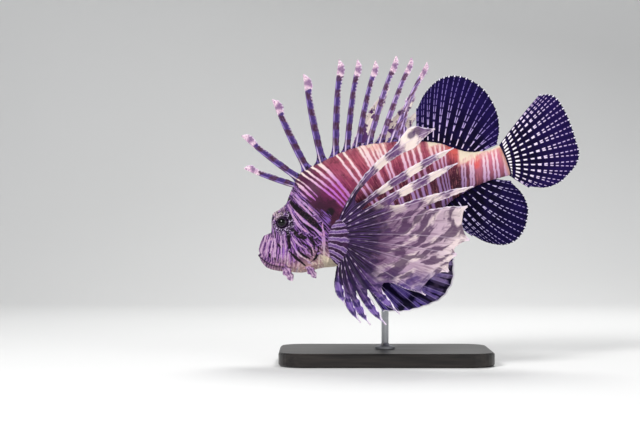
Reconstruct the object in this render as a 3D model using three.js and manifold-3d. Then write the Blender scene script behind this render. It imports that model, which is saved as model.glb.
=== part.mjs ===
// A red lionfish at life size, hovering nose down with every fin spread, on a plain display stand.
// Millimetres, +Z up. The snout points along -X and the fish's left side faces -Y.
// The origin is the middle of the stand's underside, below the rod that carries the belly.
import * as THREE from "three";
import { mergeVertices } from "three/addons/utils/BufferGeometryUtils.js";
import Module from "manifold-3d";

const wasm = await Module();
wasm.setup();

// Driving dimensions of the animal and of its stand.
const STANDARD_LENGTH = 238; // snout to the root of the tail fin
const PITCH_DEG = 20.6; // the tail is carried higher than the head
const SNOUT_X = -113.4;
const SNOUT_Z = 97.2;
const GAP = 0.3; // left between pieces that touch
const ROOT_DEPTH = 2.5; // how far a fin's root runs into the body before it is cut to it
const MEMBRANE = 0.6; // thickness of the skin between fin rays
const STAND = {
  length: 190, depth: 124, height: 12, corner: 22, bevel: 1.5, rod: 3.2, foot: 9, footHeight: 3,
};

// The body's outline in its own frame: distance behind the snout, then height above the axis.
const BACK = [
  [-0.6, 1.5], [2.5, 6.2], [5.7, 10], [11, 14], [16.6, 14], [19.4, 19], [22, 25.5], [25.2, 29], [32, 30.4],
  [38, 33], [43.6, 39.3], [50.2, 46.5], [55.4, 52], [64.4, 56.1], [80, 57.6], [105, 59.6], [117, 59.2],
  [144, 53.5], [168, 45.6], [187, 36.6], [199.5, 26.5], [208, 20.6], [217, 17], [229, 14.6], [238, 15.8],
];
const BELLY = [
  [-0.6, -9.6], [2, -13.6], [6.8, -17.9], [20.4, -25], [31.6, -29.6], [47.9, -31.6], [62.6, -35],
  [92.5, -36.4], [122.6, -33.4], [155, -25.4], [183, -15.6], [204.7, -11.9], [217, -11.4],
  [230, -12.4], [238, -13.2],
];
const FLANK = [
  [-0.6, 5.4], [4, 8.8], [10, 11], [17, 12.2], [24, 13.4], [32, 15.6], [45, 18.6], [60, 21.2],
  [75, 22.2], [95, 22], [120, 20.2], [150, 16.2], [180, 11], [205, 7.2], [225, 5.2], [238, 4.4],
];
// The widest line's share of the height, and how sharp the back is: over 1 is sharper than an ellipse.
const FULLEST = [[-0.6, 0.42], [20, 0.36], [45, 0.36], [70, 0.42], [120, 0.48], [238, 0.5]];
const KEEL = [[-0.6, 0.9], [20, 1], [45, 1.12], [80, 1.1], [160, 1], [238, 1]];

// A smooth curve through [distance, value] pairs, with no overshoot between them.
function smoothThrough(points) {
  const n = points.length;
  const rise = (k) => (points[k + 1][1] - points[k][1]) / (points[k + 1][0] - points[k][0]);
  const slope = points.map((p, k) => {
    if (k === 0) return rise(0);
    if (k === n - 1) return rise(n - 2);
    return rise(k - 1) * rise(k) <= 0 ? 0 : (2 * rise(k - 1) * rise(k)) / (rise(k - 1) + rise(k));
  });
  return (s) => {
    let k = 0;
    while (k < n - 2 && s > points[k + 1][0]) k += 1;
    const width = points[k + 1][0] - points[k][0];
    const t = THREE.MathUtils.clamp((s - points[k][0]) / width, 0, 1);
    const t2 = t * t;
    const t3 = t2 * t;
    return (
      (2 * t3 - 3 * t2 + 1) * points[k][1] +
      (t3 - 2 * t2 + t) * width * slope[k] +
      (3 * t2 - 2 * t3) * points[k + 1][1] +
      (t3 - t2) * width * slope[k + 1]
    );
  };
}

const back = smoothThrough(BACK);
const belly = smoothThrough(BELLY);
const flank = smoothThrough(FLANK);
const fullest = smoothThrough(FULLEST);
const keel = smoothThrough(KEEL);

const radians = THREE.MathUtils.degToRad;
const tailward = new THREE.Vector3(Math.cos(radians(PITCH_DEG)), 0, Math.sin(radians(PITCH_DEG)));
const upward = new THREE.Vector3(-Math.sin(radians(PITCH_DEG)), 0, Math.cos(radians(PITCH_DEG)));
const snout = new THREE.Vector3(SNOUT_X, 0, SNOUT_Z);

// A point of the body's frame in the model's frame.
const place = (s, h, y = 0) => snout.clone().addScaledVector(tailward, s).addScaledVector(upward, h).setY(y);

// The height of the body's widest line at a station.
const waist = (s) => belly(s) + (back(s) - belly(s)) * fullest(s);

// How far the flank stands out from the middle plane at a height on the body.
function flankAt(s, h) {
  const reach = h > waist(s) ? back(s) - waist(s) : waist(s) - belly(s);
  const share = THREE.MathUtils.clamp(Math.abs(h - waist(s)) / reach, 0, 1);
  const sharpness = h > waist(s) ? keel(s) : 1;
  return flank(s) * Math.pow(1 - share * share, sharpness / 2);
}

// Closed solids from triangles, from three.js geometry, and back to named meshes.
function closedSolid(positions, triangles) {
  const make = (triVerts) =>
    new wasm.Manifold(new wasm.Mesh({ numProp: 3, vertProperties: new Float32Array(positions), triVerts }));
  const made = make(new Uint32Array(triangles.flat()));
  return made.volume() > 0 ? made : make(new Uint32Array(triangles.map(([a, b, c]) => [a, c, b]).flat()));
}

function solidOf(geometry) {
  const bare = geometry.index ? geometry.toNonIndexed() : geometry.clone();
  bare.deleteAttribute("normal");
  bare.deleteAttribute("uv");
  const merged = mergeVertices(bare, 1e-3);
  const index = Array.from(merged.index.array);
  const triangles = [];
  for (let k = 0; k < index.length; k += 3) triangles.push(index.slice(k, k + 3));
  const whole = triangles.filter(([a, b, c]) => a !== b && b !== c && a !== c);
  return closedSolid(merged.attributes.position.array, whole);
}

const largest = (solid) => solid.decompose().sort((a, b) => b.volume() - a.volume())[0];

const fish = new THREE.Group();

function addNode(name, solid, color, roughness = 0.55) {
  const mesh = solid.getMesh();
  const positions = new Float32Array(mesh.numVert * 3);
  for (let v = 0; v < mesh.numVert; v += 1) {
    positions.set(mesh.vertProperties.subarray(v * mesh.numProp, v * mesh.numProp + 3), v * 3);
  }
  const geometry = new THREE.BufferGeometry();
  geometry.setAttribute("position", new THREE.BufferAttribute(positions, 3));
  geometry.setIndex(new THREE.BufferAttribute(new Uint32Array(mesh.triVerts), 1));
  geometry.computeVertexNormals();
  const node = new THREE.Mesh(geometry, new THREE.MeshStandardMaterial({ color, roughness, metalness: 0 }));
  node.name = name;
  fish.add(node);
}

// The body as one lofted form, from the snout to the root of the tail fin.
const AROUND = 24;
const STATIONS = [
  -0.6, 2, 5, 8, 11.5, 15, 17.5, 19.5, 21.5, 24, 28, 33, 38, 43, 48, 53, 59, 66, 74, 83, 93, 104,
  116, 129, 142, 155, 168, 180, 191, 201, 210, 219, 229, STANDARD_LENGTH,
];

function bodyForm(grow) {
  const positions = [];
  const triangles = [];
  STATIONS.forEach((s, row) => {
    const end = row === 0 ? -grow : row === STATIONS.length - 1 ? grow : 0;
    for (let k = 0; k < AROUND; k += 1) {
      const angle = (2 * Math.PI * k) / AROUND;
      const up = Math.cos(angle);
      const side = Math.sin(angle);
      const reach = up > 0 ? back(s) - waist(s) + grow : waist(s) - belly(s) + grow;
      const sharpness = up > 0 ? keel(s) : 1;
      const out = (flank(s) + grow) * Math.sign(side) * Math.pow(Math.abs(side), sharpness);
      positions.push(...place(s + end, waist(s) + reach * up, out).toArray());
    }
  });
  const at = (row, k) => row * AROUND + (k % AROUND);
  for (let row = 0; row < STATIONS.length - 1; row += 1) {
    for (let k = 0; k < AROUND; k += 1) {
      const [a, b, c, d] = [at(row, k), at(row, k + 1), at(row + 1, k + 1), at(row + 1, k)];
      triangles.push([a, b, c], [a, c, d]);
    }
  }
  const last = STATIONS.length - 1;
  for (let k = 1; k < AROUND - 1; k += 1) {
    triangles.push([at(0, 0), at(0, k + 1), at(0, k)], [at(last, 0), at(last, k), at(last, k + 1)]);
  }
  return closedSolid(positions, triangles);
}

const bodySeat = bodyForm(GAP);
const seated = (solid) => largest(solid.subtract(bodySeat));

// A thin curved sheet across the whole width of the body, which parts it along a line seen from the side.
function partingSheet(line) {
  const half = GAP / 2;
  const path = new THREE.SplineCurve(line.map(([s, h]) => new THREE.Vector2(s, h)));
  const steps = 5 * (line.length - 1);
  const edge = (side) =>
    path.getSpacedPoints(steps).map((p, k) => {
      const along = path.getTangentAt(k / steps);
      return new THREE.Vector2(p.x - along.y * side * half, p.y + along.x * side * half);
    });
  const outline = new THREE.Shape([...edge(1), ...edge(-1).reverse()]);
  const width = 80;
  const sheet = new THREE.ExtrudeGeometry(outline, { depth: width, bevelEnabled: false, steps: 1 });
  const across = new THREE.Vector3(0, -1, 0);
  const turn = new THREE.Matrix4().makeBasis(tailward, upward, across);
  turn.setPosition(snout.clone().setY(width / 2));
  return solidOf(sheet.applyMatrix4(turn));
}

// Lines where the body is parted: the gape, the gill cover's edge, and the root of the tail.
const GAPE_LINE = [[-5, 4], [-0.3, -0.6], [5.5, -10.4], [13, -16], [21, -19.6], [28, -24], [34, -36]];
const GILL_LINE = [
  [42, 52], [48, 41], [56, 27], [63, 14], [66.5, 3], [65.5, -8], [60, -20], [53, -31], [49, -42],
];
const TAIL_LINE = [[199, 34], [200.5, 15], [200.5, 0], [199, -20]];

// Eyes, in sockets that hold them at the skin.
const EYE = { s: 30.4, h: 18.6, out: 8.8, radius: 6.1 };

function eyeBall(side, grow) {
  const ball = new THREE.SphereGeometry(EYE.radius + grow, 14, 8);
  ball.rotateX(Math.PI / 2);
  return solidOf(ball.translate(...place(EYE.s, EYE.h, side * EYE.out).toArray()));
}

// A point on the skin, or proud of it, on the side that is asked for.
const onSkin = (s, h, side, proud = 0) => place(s, h, side * (flankAt(s, h) + proud));

// A direction from its parts along, above and out of the body.
function heading(along, above, out, side) {
  const direction = new THREE.Vector3(0, side * out, 0);
  return direction.addScaledVector(tailward, along).addScaledVector(upward, above).normalize();
}

const aimed = (geometry, from, direction) =>
  geometry.applyQuaternion(new THREE.Quaternion().setFromUnitVectors(from, direction));

// Bony rim of the orbit, which holds the eye like a lid.
const ORBIT = { radius: 6.4, thick: 1.4, lift: 1.7 };

function orbitRim(side) {
  const axis = heading(-0.2, 0.36, 0.91, side);
  const ring = new THREE.TorusGeometry(ORBIT.radius, ORBIT.thick, 5, 16);
  const rim = aimed(ring, new THREE.Vector3(0, 0, 1), axis);
  const middle = place(EYE.s, EYE.h, side * EYE.out).addScaledVector(axis, ORBIT.lift);
  return solidOf(rim.translate(...middle.toArray()));
}

// Lips: a soft roll on each side of the gape, from one corner of the mouth round the snout to the other.
const LIP = { thick: 1.3, apart: 1.2, sunk: 0.5 };

function lip(above) {
  const gape = new THREE.SplineCurve(GAPE_LINE.slice(1, 6).map(([s, h]) => new THREE.Vector2(s, h)));
  const steps = 7;
  const half = Array.from({ length: steps + 1 }, (_, k) => {
    const t = k / steps;
    const along = gape.getTangentAt(t).multiplyScalar(above * LIP.apart);
    const point = gape.getPointAt(t).add(new THREE.Vector2(-along.y, along.x));
    return [point.x, point.y, t ** 6 * LIP.thick];
  });
  const points = [
    ...half.map(([s, h, fade]) => onSkin(s, h, -1, -LIP.sunk - fade)).reverse(),
    ...half.map(([s, h, fade]) => onSkin(s, h, 1, -LIP.sunk - fade)),
  ];
  const round = new THREE.EllipseCurve(0, 0, LIP.thick, LIP.thick);
  const section = new THREE.Shape(round.getPoints(6).slice(0, 6));
  const extrudePath = new THREE.CatmullRomCurve3(points);
  return solidOf(new THREE.ExtrudeGeometry(section, { steps: 19, extrudePath, bevelEnabled: false }));
}

// Nostrils: a low ring round a pit, two on each side between the lip and the eye.
const NOSTRILS = [[12.5, 8.5], [19.5, 13]];
const NOSTRIL = { radius: 1, ring: 0.5, pit: 1.6 };

function nostril([s, h], side) {
  const axis = heading(-0.3, 0.45, 0.84, side);
  const middle = onSkin(s, h, side, 0.1);
  const ring = new THREE.TorusGeometry(NOSTRIL.radius, NOSTRIL.ring, 4, 6);
  const pit = new THREE.ConeGeometry(NOSTRIL.radius - 0.2, NOSTRIL.pit * 2, 5);
  return {
    ring: solidOf(aimed(ring, new THREE.Vector3(0, 0, 1), axis).translate(...middle.toArray())),
    pit: solidOf(aimed(pit, new THREE.Vector3(0, -1, 0), axis).translate(...middle.toArray())),
  };
}

// Head spines: [distance, height, length] of the brow, nape, cheek and gill cover spines of one side.
const HEAD_SPINES = [
  [25, 26, 2.6], [30, 28.6, 3], [35, 29.6, 3], [41, 34, 3.4], [46, 38.6, 3.4], [34, 7.5, 2.4], [40, 4.5, 2.8],
  [46, 2, 3.2], [51.5, -4, 4], [52, -11, 3.6], [49.5, -18, 3], [57.5, 15, 3.4], [60, 8, 3.4],
];

function headSpine([s, h, length], side) {
  const leans = heading(0.78, h > 20 ? 0.5 : 0.05, 0.5, side);
  const cone = aimed(new THREE.ConeGeometry(0.9, length * 1.6, 4), new THREE.Vector3(0, 1, 0), leans);
  return solidOf(cone.translate(...onSkin(s, h, side).addScaledVector(leans, length * 0.2).toArray()));
}

// A fin: rays that stand in a membrane, open between neighbours beyond each web's share of their length.
// Each ray gives its centre line, the membrane's width before and behind it, and its thickness.
// The indent is how far the margin between two rays draws back, as a share of one row.
const FOOT_SHARE = 0.55; // half the width of a ray's ridge, as a share of its thickness
const LEAST_WEB = 0.25; // membrane left beyond a ridge at a free tip
const CLEAR_SHARE = 0.46; // share of the space to the next ray that a free edge may fill

function finSolid({ rays, webs, rows, indent }) {
  const last = rays.length - 1;
  const shares = Array.from({ length: rows + 1 }, (_, j) => j / rows);
  const centre = rays.map((ray) => shares.map((t) => ray.at(t)));
  const webRow = webs.map((share) => Math.round(share * rows));
  const along = centre.map((points) =>
    points.map((p, j) => points[Math.min(j + 1, rows)].clone().sub(points[Math.max(j - 1, 0)]).normalize()),
  );
  const across = centre.map((points, i) =>
    points.map((p, j) => {
      const step = centre[Math.min(i + 1, last)][j].clone().sub(centre[Math.max(i - 1, 0)][j]);
      return step.addScaledVector(along[i][j], -step.dot(along[i][j])).normalize();
    }),
  );
  const normal = along.map((list, i) => list.map((d, j) => d.clone().cross(across[i][j]).normalize()));
  const top = [];
  const bottom = [];
  const addPair = (point, direction, half) => {
    top.push(point.clone().addScaledVector(direction, half));
    bottom.push(point.clone().addScaledVector(direction, -half));
    return top.length - 1;
  };
  const webPoint = (i, j) => centre[i][j].clone().add(centre[i + 1][j]).multiplyScalar(0.5);
  const shared = webRow.map((reach, i) =>
    shares.slice(0, reach + 1).map((t, j) => {
      const point = webPoint(i, j);
      if (j === reach && j > 0) point.lerp(webPoint(i, j - 1), indent);
      return addPair(point, normal[i][j].clone().add(normal[i + 1][j]).normalize(), MEMBRANE / 2);
    }),
  );
  const spacing = (i, k, j) => (k < 0 || k > last ? Infinity : centre[i][j].distanceTo(centre[k][j]));
  const columns = rays.map((ray, i) =>
    shares.map((t, j) => {
      const foot = ray.thick(t) * FOOT_SHARE;
      const beside = (out) =>
        addPair(centre[i][j].clone().addScaledVector(across[i][j], out), normal[i][j], MEMBRANE / 2);
      const edge = (neighbour, width, sign) => {
        const gap = Math.min(i, neighbour);
        if (neighbour >= 0 && neighbour <= last && j <= webRow[gap]) return shared[gap][j];
        const out = Math.max(foot + LEAST_WEB, Math.min(width(t), spacing(i, neighbour, j) * CLEAR_SHARE));
        return beside(sign * out);
      };
      return [
        edge(i - 1, ray.before, -1),
        beside(-foot),
        addPair(centre[i][j], normal[i][j], ray.thick(t) / 2),
        beside(foot),
        edge(i + 1, ray.behind, 1),
      ];
    }),
  );
  const faces = [];
  columns.forEach((strip) => {
    for (let j = 0; j < rows; j += 1) {
      for (let c = 0; c < 4; c += 1) {
        const [a, b, d, e] = [strip[j][c], strip[j][c + 1], strip[j + 1][c + 1], strip[j + 1][c]];
        faces.push([a, b, d], [a, d, e]);
      }
    }
  });
  return slabSolid(top, bottom, faces);
}

// Joins an upper and a lower skin of like triangles by a wall along every free edge.
function slabSolid(top, bottom, faces) {
  const count = top.length;
  const open = new Map();
  faces.forEach((face) =>
    face.forEach((a, k) => {
      const b = face[(k + 1) % 3];
      if (!open.delete(b + "," + a)) open.set(a + "," + b, [a, b]);
    }),
  );
  const triangles = faces.flatMap(([a, b, c]) => [[a, b, c], [a + count, c + count, b + count]]);
  open.forEach(([a, b]) => triangles.push([b, a, a + count], [b, a + count, b + count]));
  return closedSolid([...top, ...bottom].flatMap((p) => p.toArray()), triangles);
}

// A ray that leaves its root at one heading and bends evenly to another. Rise is the angle above the
// horizon seen from the side, and out the angle away from the middle plane, both in degrees.
function bentRay(root, length, rise, out, side = 0) {
  const steps = 12;
  const points = [root.clone()];
  for (let k = 0; k < steps; k += 1) {
    const t = (k + 0.5) / steps;
    const up = radians(rise[0] + (rise[1] - rise[0]) * t);
    const away = radians(out[0] + (out[1] - out[0]) * t);
    const heading = new THREE.Vector3(
      Math.cos(up) * Math.cos(away), side * Math.sin(away), Math.sin(up) * Math.cos(away),
    );
    points.push(points[k].clone().addScaledVector(heading, length / steps));
  }
  const path = new THREE.CatmullRomCurve3(points);
  return (t) => path.getPoint(t);
}

const bump = (t, middle, reach) => Math.exp(-(((t - middle) / reach) ** 2));
const taper = (root, tip) => (t) => root + (tip - root) * t;

// Spiny dorsal fin: twelve free spines, each with a narrow skin behind it and a small flag at its tip.
const SPINE_ROOTS = [51.5, 56.5, 66, 80.8, 93.6, 104.7, 114.6, 124.7, 135.4, 145, 152.6, 158.5];
const SPINE_LENGTHS = [46, 62, 70, 81, 87, 83, 80, 84, 82, 79, 42, 26];
const SPINE_RISE = [160, 142, 115, 101, 87, 82.5, 77.5, 72, 69.5, 65.5, 76, 92];
const SPINE_BEND = 5;
const SPINE_SKIN = [4.2, 4.6, 5.2, 5.2, 4.8, 4.2, 3.9, 3.9, 3.7, 3.4, 2.6, 2.2]; // width behind each spine
const FLAG_SHARE = 0.55; // extra width of the flag at its tip, as a share of that

function spinyDorsal() {
  const rays = SPINE_ROOTS.map((s, i) => {
    const length = SPINE_LENGTHS[i];
    const rise = [SPINE_RISE[i] + SPINE_BEND, SPINE_RISE[i] - SPINE_BEND];
    const wide = SPINE_SKIN[i];
    const at = bentRay(place(s, back(s) - ROOT_DEPTH), length + ROOT_DEPTH, rise, [0, 0]);
    const skin = (t) => 0.72 + 0.28 * Math.sin(Math.PI * t) + FLAG_SHARE * bump(t, 0.87, 0.09);
    return {
      at,
      before: () => 0.9,
      behind: (t) => wide * (skin(t) - 0.6 * bump(t, 1, 0.04)) + 1.2 * (1 - t) ** 3,
      thick: taper(2.3, 0.9),
    };
  });
  const webs = SPINE_ROOTS.slice(1).map((_, i) => (i > 8 ? 0.3 : 0.15));
  return seated(finSolid({ rays, webs, rows: 6, indent: 0.2 }));
}

// Soft dorsal, tail and anal fins: rounded fans in the middle plane.
function middleFan(roots, lengths, rises, bend) {
  const rays = roots.map(([s, h], i) => ({
    at: bentRay(place(s, h), lengths[i] + ROOT_DEPTH, [rises[i] + bend(i), rises[i] - bend(i)], [0, 0]),
    before: () => 1.2,
    behind: () => 1.2,
    thick: taper(1.7, 0.75),
  }));
  const webs = roots.slice(1).map(() => 1);
  return seated(finSolid({ rays, webs, rows: 4, indent: 0.1 }));
}

const spread = (from, to, count) =>
  Array.from({ length: count }, (_, k) => from + ((to - from) * k) / (count - 1));

function softDorsal() {
  const roots = spread(169, 214, 12).map((s) => [s, back(s) - ROOT_DEPTH]);
  const lengths = [30, 41, 49, 56, 60.5, 63, 63, 60, 53.5, 44, 32, 20];
  const rises = [91, 90, 88.5, 86, 83, 78.5, 73.5, 67, 60, 51, 40, 27];
  return middleFan(roots, lengths, rises, (i) => 1.5 + i * 0.4);
}

function tailFin() {
  const roots = spread(13.4, -10.8, 13).map((h) => [STANDARD_LENGTH - ROOT_DEPTH, h]);
  const lengths = [59, 65, 68.5, 68.5, 67.5, 66.5, 66, 66.5, 63, 55.5, 47.5, 36, 21];
  const rises = [51.5, 49, 45, 38.5, 31, 23.3, 15.5, 8.2, 1, -6, -14, -23, -32];
  return middleFan(roots, lengths, rises, (i) => (6 - i) * 0.5);
}

function analFin() {
  const roots = spread(166, 216, 10).map((s) => [s, belly(s) + ROOT_DEPTH]);
  const lengths = [37, 46.5, 55, 62, 65.5, 63.5, 57.5, 49, 36, 20];
  const rises = [-38, -43, -44.5, -43.5, -39.5, -34.5, -28.5, -22.5, -16, -8];
  return middleFan(roots, lengths, rises, (i) => -1.5 - i * 0.3);
}

// Pectoral fin: a fleshy base behind the gill cover that carries fourteen long rays in a wide fan.
// The lists run from the top ray down. The right fin's first rays are raised further, above the back.
const RAY_LENGTHS = [124, 127, 125, 132, 125, 125, 115, 112, 101, 91, 87, 77, 67, 44];
const RAY_RISE_ROOT = [67, 42, 31, 21, 14, 3, -6, -15, -34, -56, -72, -84, -92, -100];
const RAY_RISE_TIP = [20, 25, 26, 15, 10, -7, -9, -16, -28, -43, -47, -52, -54, -64];
const RAY_OUT = [22, 27, 30, 32, 35, 36, 38, 40, 42, 42, 39, 38, 34, 34];
const RIGHT_LIFT = [
  { root: 16, tip: 35, inward: 6, stretch: 1.1 },
  { root: 26, tip: 25, inward: 9, stretch: 1.12 },
  { root: 34, tip: 21, inward: 10, stretch: 1.08 },
  { root: 12, tip: 6, inward: 2, stretch: 1 },
];
const UNRAISED = { root: 0, tip: 0, inward: 0, stretch: 1 };
const WEB_SHARES = [0.17, 0.17, 0.33, 0.67, 1, 1, 1, 0.83, 0.67, 0.67, 0.67, 0.67, 0.67];
const PALM = {
  x: -43.5, z: 109.5, out: 23.5, radius: 21, length: 12, thick: 5, fan: 134, top: 66, tilt: 4, turn: 8,
};
const FLAG = { before: 8.5, behind: 3.5 }; // extra width of the left fin's top ray at its leaf-shaped end
const BLADE = 3; // extra width of the right fin's raised blades

function pectoralRay(i, side) {
  const raised = (side > 0 && RIGHT_LIFT[i]) || UNRAISED;
  const angle = radians(PALM.top - (PALM.fan * i) / (RAY_LENGTHS.length - 1));
  const root = new THREE.Vector3(
    PALM.x - 2 + (PALM.radius - 9) * Math.cos(angle),
    side * (PALM.out - 1.5),
    PALM.z + PALM.radius * Math.sin(angle),
  );
  const rise = [RAY_RISE_ROOT[i] + raised.root, RAY_RISE_TIP[i] + raised.tip];
  const out = RAY_OUT[i] - raised.inward;
  const flag = i === 0 && side < 0 ? FLAG : { before: 0, behind: 0 };
  const blade = (t) => (side > 0 && i < 3 ? BLADE : 0) * bump(t, 0.6, 0.35);
  return {
    at: bentRay(root, RAY_LENGTHS[i] * raised.stretch, rise, [out - 6, out + 4], side),
    before: (t) =>
      1.4 + 1.8 * bump(t, 0.6, 0.35) + blade(t) + flag.before * bump(t, 0.83, 0.1) - 1.6 * bump(t, 1, 0.08),
    behind: (t) =>
      1.6 + 3 * bump(t, 0.6, 0.3) + blade(t) + flag.behind * bump(t, 0.8, 0.11) - 1.8 * bump(t, 1, 0.08),
    thick: taper(2.4, 0.8),
  };
}

function pectoralFin(side) {
  const rays = RAY_LENGTHS.map((_, i) => pectoralRay(i, side));
  const fan = finSolid({ rays, webs: WEB_SHARES, rows: 6, indent: 0.25 });
  const palm = new THREE.SphereGeometry(1, 12, 8).scale(PALM.length, PALM.thick, PALM.radius + 1);
  palm.rotateZ(side * radians(-PALM.turn)).rotateY(radians(PALM.tilt));
  const lobe = solidOf(palm.translate(PALM.x + 4, side * (PALM.out - 4), PALM.z));
  return seated(fan.add(lobe));
}

// Pelvic fin: a stout spine and five branched rays, below the chest.
const PELVIC_LENGTHS = [60, 70.5, 78.5, 86.5, 87, 81];
const PELVIC_RISE = [-60, -49, -39, -29, -18, -6];
const PELVIC_ROOT = { s: 78, step: 3, inset: 2.6, out: 8.5 };

function pelvicFin(side) {
  const rays = PELVIC_LENGTHS.map((length, i) => {
    const s = PELVIC_ROOT.s + i * PELVIC_ROOT.step;
    const root = place(s, belly(s) + PELVIC_ROOT.inset + ROOT_DEPTH, side * (PELVIC_ROOT.out - i * 0.5));
    return {
      at: bentRay(root, length, [PELVIC_RISE[i] - 6, PELVIC_RISE[i] + 6], [26, 14], side),
      before: () => 1.2,
      behind: () => 1.2,
      thick: i === 0 ? taper(2.6, 1) : taper(1.8, 0.8),
    };
  });
  return seated(finSolid({ rays, webs: [1, 1, 1, 1, 1], rows: 4, indent: 0.1 }));
}

// Skin flaps of the face: soft tapered leaves with a scalloped edge.
function leaf({ root, heading, across, length, width, lobes }) {
  const rows = 6;
  const along = heading.clone().normalize();
  const side = across.clone().addScaledVector(along, -across.dot(along)).normalize();
  const face = along.clone().cross(side);
  const positions = [];
  const triangles = [];
  for (let j = 0; j <= rows; j += 1) {
    const t = j / rows;
    const swell = 0.35 + 0.65 * Math.sin(Math.PI * (0.12 + 0.8 * t));
    const half = (width / 2) * swell * (1 + lobes * Math.cos(2 * Math.PI * 2.5 * t)) * (1 - 0.55 * t ** 4);
    const thick = 0.65 - 0.25 * t;
    const centre = root.clone().addScaledVector(along, length * t);
    [[side, half], [face, thick], [side, -half], [face, -thick]].forEach(([direction, reach]) =>
      positions.push(...centre.clone().addScaledVector(direction, reach).toArray()),
    );
  }
  const at = (j, k) => j * 4 + (k % 4);
  for (let j = 0; j < rows; j += 1) {
    for (let k = 0; k < 4; k += 1) {
      const [a, b, c, d] = [at(j, k), at(j, k + 1), at(j + 1, k + 1), at(j + 1, k)];
      triangles.push([a, b, c], [a, c, d]);
    }
  }
  const tip = [0, 1, 2, 3].map((k) => at(rows, k));
  triangles.push([0, 2, 1], [0, 3, 2], [tip[0], tip[1], tip[2]], [tip[0], tip[2], tip[3]]);
  return closedSolid(positions, triangles);
}

const FLAPS = [
  { name: "brow_tentacle", s: 32.5, h: 25, heading: [0.15, 0.45, 1], length: 10, width: 2.8, lobes: 0.2 },
  { name: "jaw_flap", s: 17, h: -17, heading: [0.6, 0.3, -1], length: 17, width: 7.4, lobes: 0.22 },
  { name: "cheek_flap", s: 37, h: -25, heading: [0.7, 0.3, -0.95], length: 14, width: 6.6, lobes: 0.22 },
];

function faceFlap(flap, side) {
  const root = place(flap.s, flap.h, side * (flankAt(flap.s, flap.h) - 1));
  const heading = new THREE.Vector3(flap.heading[0], side * flap.heading[1], flap.heading[2]);
  return seated(leaf({ ...flap, root, heading, across: new THREE.Vector3(1, 0, 0.8) }));
}

// Stand: a flat plate with rounded corners, and one rod up to the belly.
function standPlate() {
  const { length, depth, height, corner, bevel } = STAND;
  const x = length / 2 - bevel;
  const y = depth / 2 - bevel;
  const outline = new THREE.Shape();
  const right = Math.PI / 2;
  outline.moveTo(-x + corner, -y);
  outline.lineTo(x - corner, -y).absarc(x - corner, -y + corner, corner, -right, 0);
  outline.lineTo(x, y - corner).absarc(x - corner, y - corner, corner, 0, right);
  outline.lineTo(-x + corner, y).absarc(-x + corner, y - corner, corner, right, 2 * right);
  outline.lineTo(-x, -y + corner).absarc(-x + corner, -y + corner, corner, 2 * right, 3 * right);
  const plate = new THREE.ExtrudeGeometry(outline, {
    depth: height - 2 * bevel, bevelSize: bevel, bevelThickness: bevel, bevelSegments: 1, curveSegments: 4,
  });
  return solidOf(plate.translate(0, 0, bevel));
}

function standRod() {
  const { height, rod, foot, footHeight } = STAND;
  const bottom = height + GAP;
  const top = place(105, 0).z;
  const profile = [
    [0, bottom], [foot, bottom], [foot, bottom + footHeight * 0.6], [rod + 1.5, bottom + footHeight],
    [rod, bottom + footHeight + 2], [rod, top], [0, top],
  ];
  const turned = new THREE.LatheGeometry(profile.map(([r, z]) => new THREE.Vector2(r, z)), 16);
  return seated(solidOf(turned.rotateX(Math.PI / 2)));
}

// Assembly.
const SIDES = [[-1, "left"], [1, "right"]];
const raised = [lip(1), lip(-1)];
const hollowed = [];
SIDES.forEach(([side]) => {
  const noses = NOSTRILS.map((at) => nostril(at, side));
  raised.push(orbitRim(side), ...noses.map(({ ring }) => ring));
  raised.push(...HEAD_SPINES.map((spine) => headSpine(spine, side)));
  hollowed.push(eyeBall(side, GAP), ...noses.map(({ pit }) => pit));
});
const flesh = raised.reduce((solid, detail) => solid.add(detail), bodyForm(0));
const cuts = [GAPE_LINE, GILL_LINE, TAIL_LINE].map(partingSheet);
const parted = cuts.reduce((solid, sheet) => solid.subtract(sheet), flesh);
const pieces = hollowed
  .reduce((solid, hollow) => solid.subtract(hollow), parted)
  .decompose()
  .sort((a, b) => b.volume() - a.volume());
const middleOf = (solid) => {
  const box = solid.boundingBox();
  return new THREE.Vector3(...box.min).add(new THREE.Vector3(...box.max)).multiplyScalar(0.5);
};
const nearest = (s, h) => {
  const away = (solid) => middleOf(solid).distanceTo(place(s, h));
  return pieces.slice(0, 4).sort((a, b) => away(a) - away(b))[0];
};

addNode("trunk", nearest(130, 8), 0x8a3550);
addNode("head", nearest(32, 2), 0x7a4a8c);
addNode("lower_jaw", nearest(12, -18), 0xb59ac0);
addNode("tail_root", nearest(220, 2), 0xd8a0a0);

SIDES.forEach(([side, word]) => {
  addNode("eye_" + word, eyeBall(side, 0), 0x120c18, 0.1);
  addNode("pectoral_fin_" + word, pectoralFin(side), 0x9a84b4);
  addNode("pelvic_fin_" + word, pelvicFin(side), 0x3a2c78);
  FLAPS.forEach((flap) => addNode(flap.name + "_" + word, faceFlap(flap, side), 0xa890b8));
});
addNode("dorsal_spines", spinyDorsal(), 0x5a4296);
addNode("soft_dorsal_fin", softDorsal(), 0x241858);
addNode("tail_fin", tailFin(), 0x241858);
addNode("anal_fin", analFin(), 0x1c1448);
addNode("stand_base", standPlate(), 0x2a2a2c, 0.4);
addNode("stand_rod", standRod(), 0x8c8f94, 0.3);

export default fish;
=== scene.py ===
import math

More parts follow.
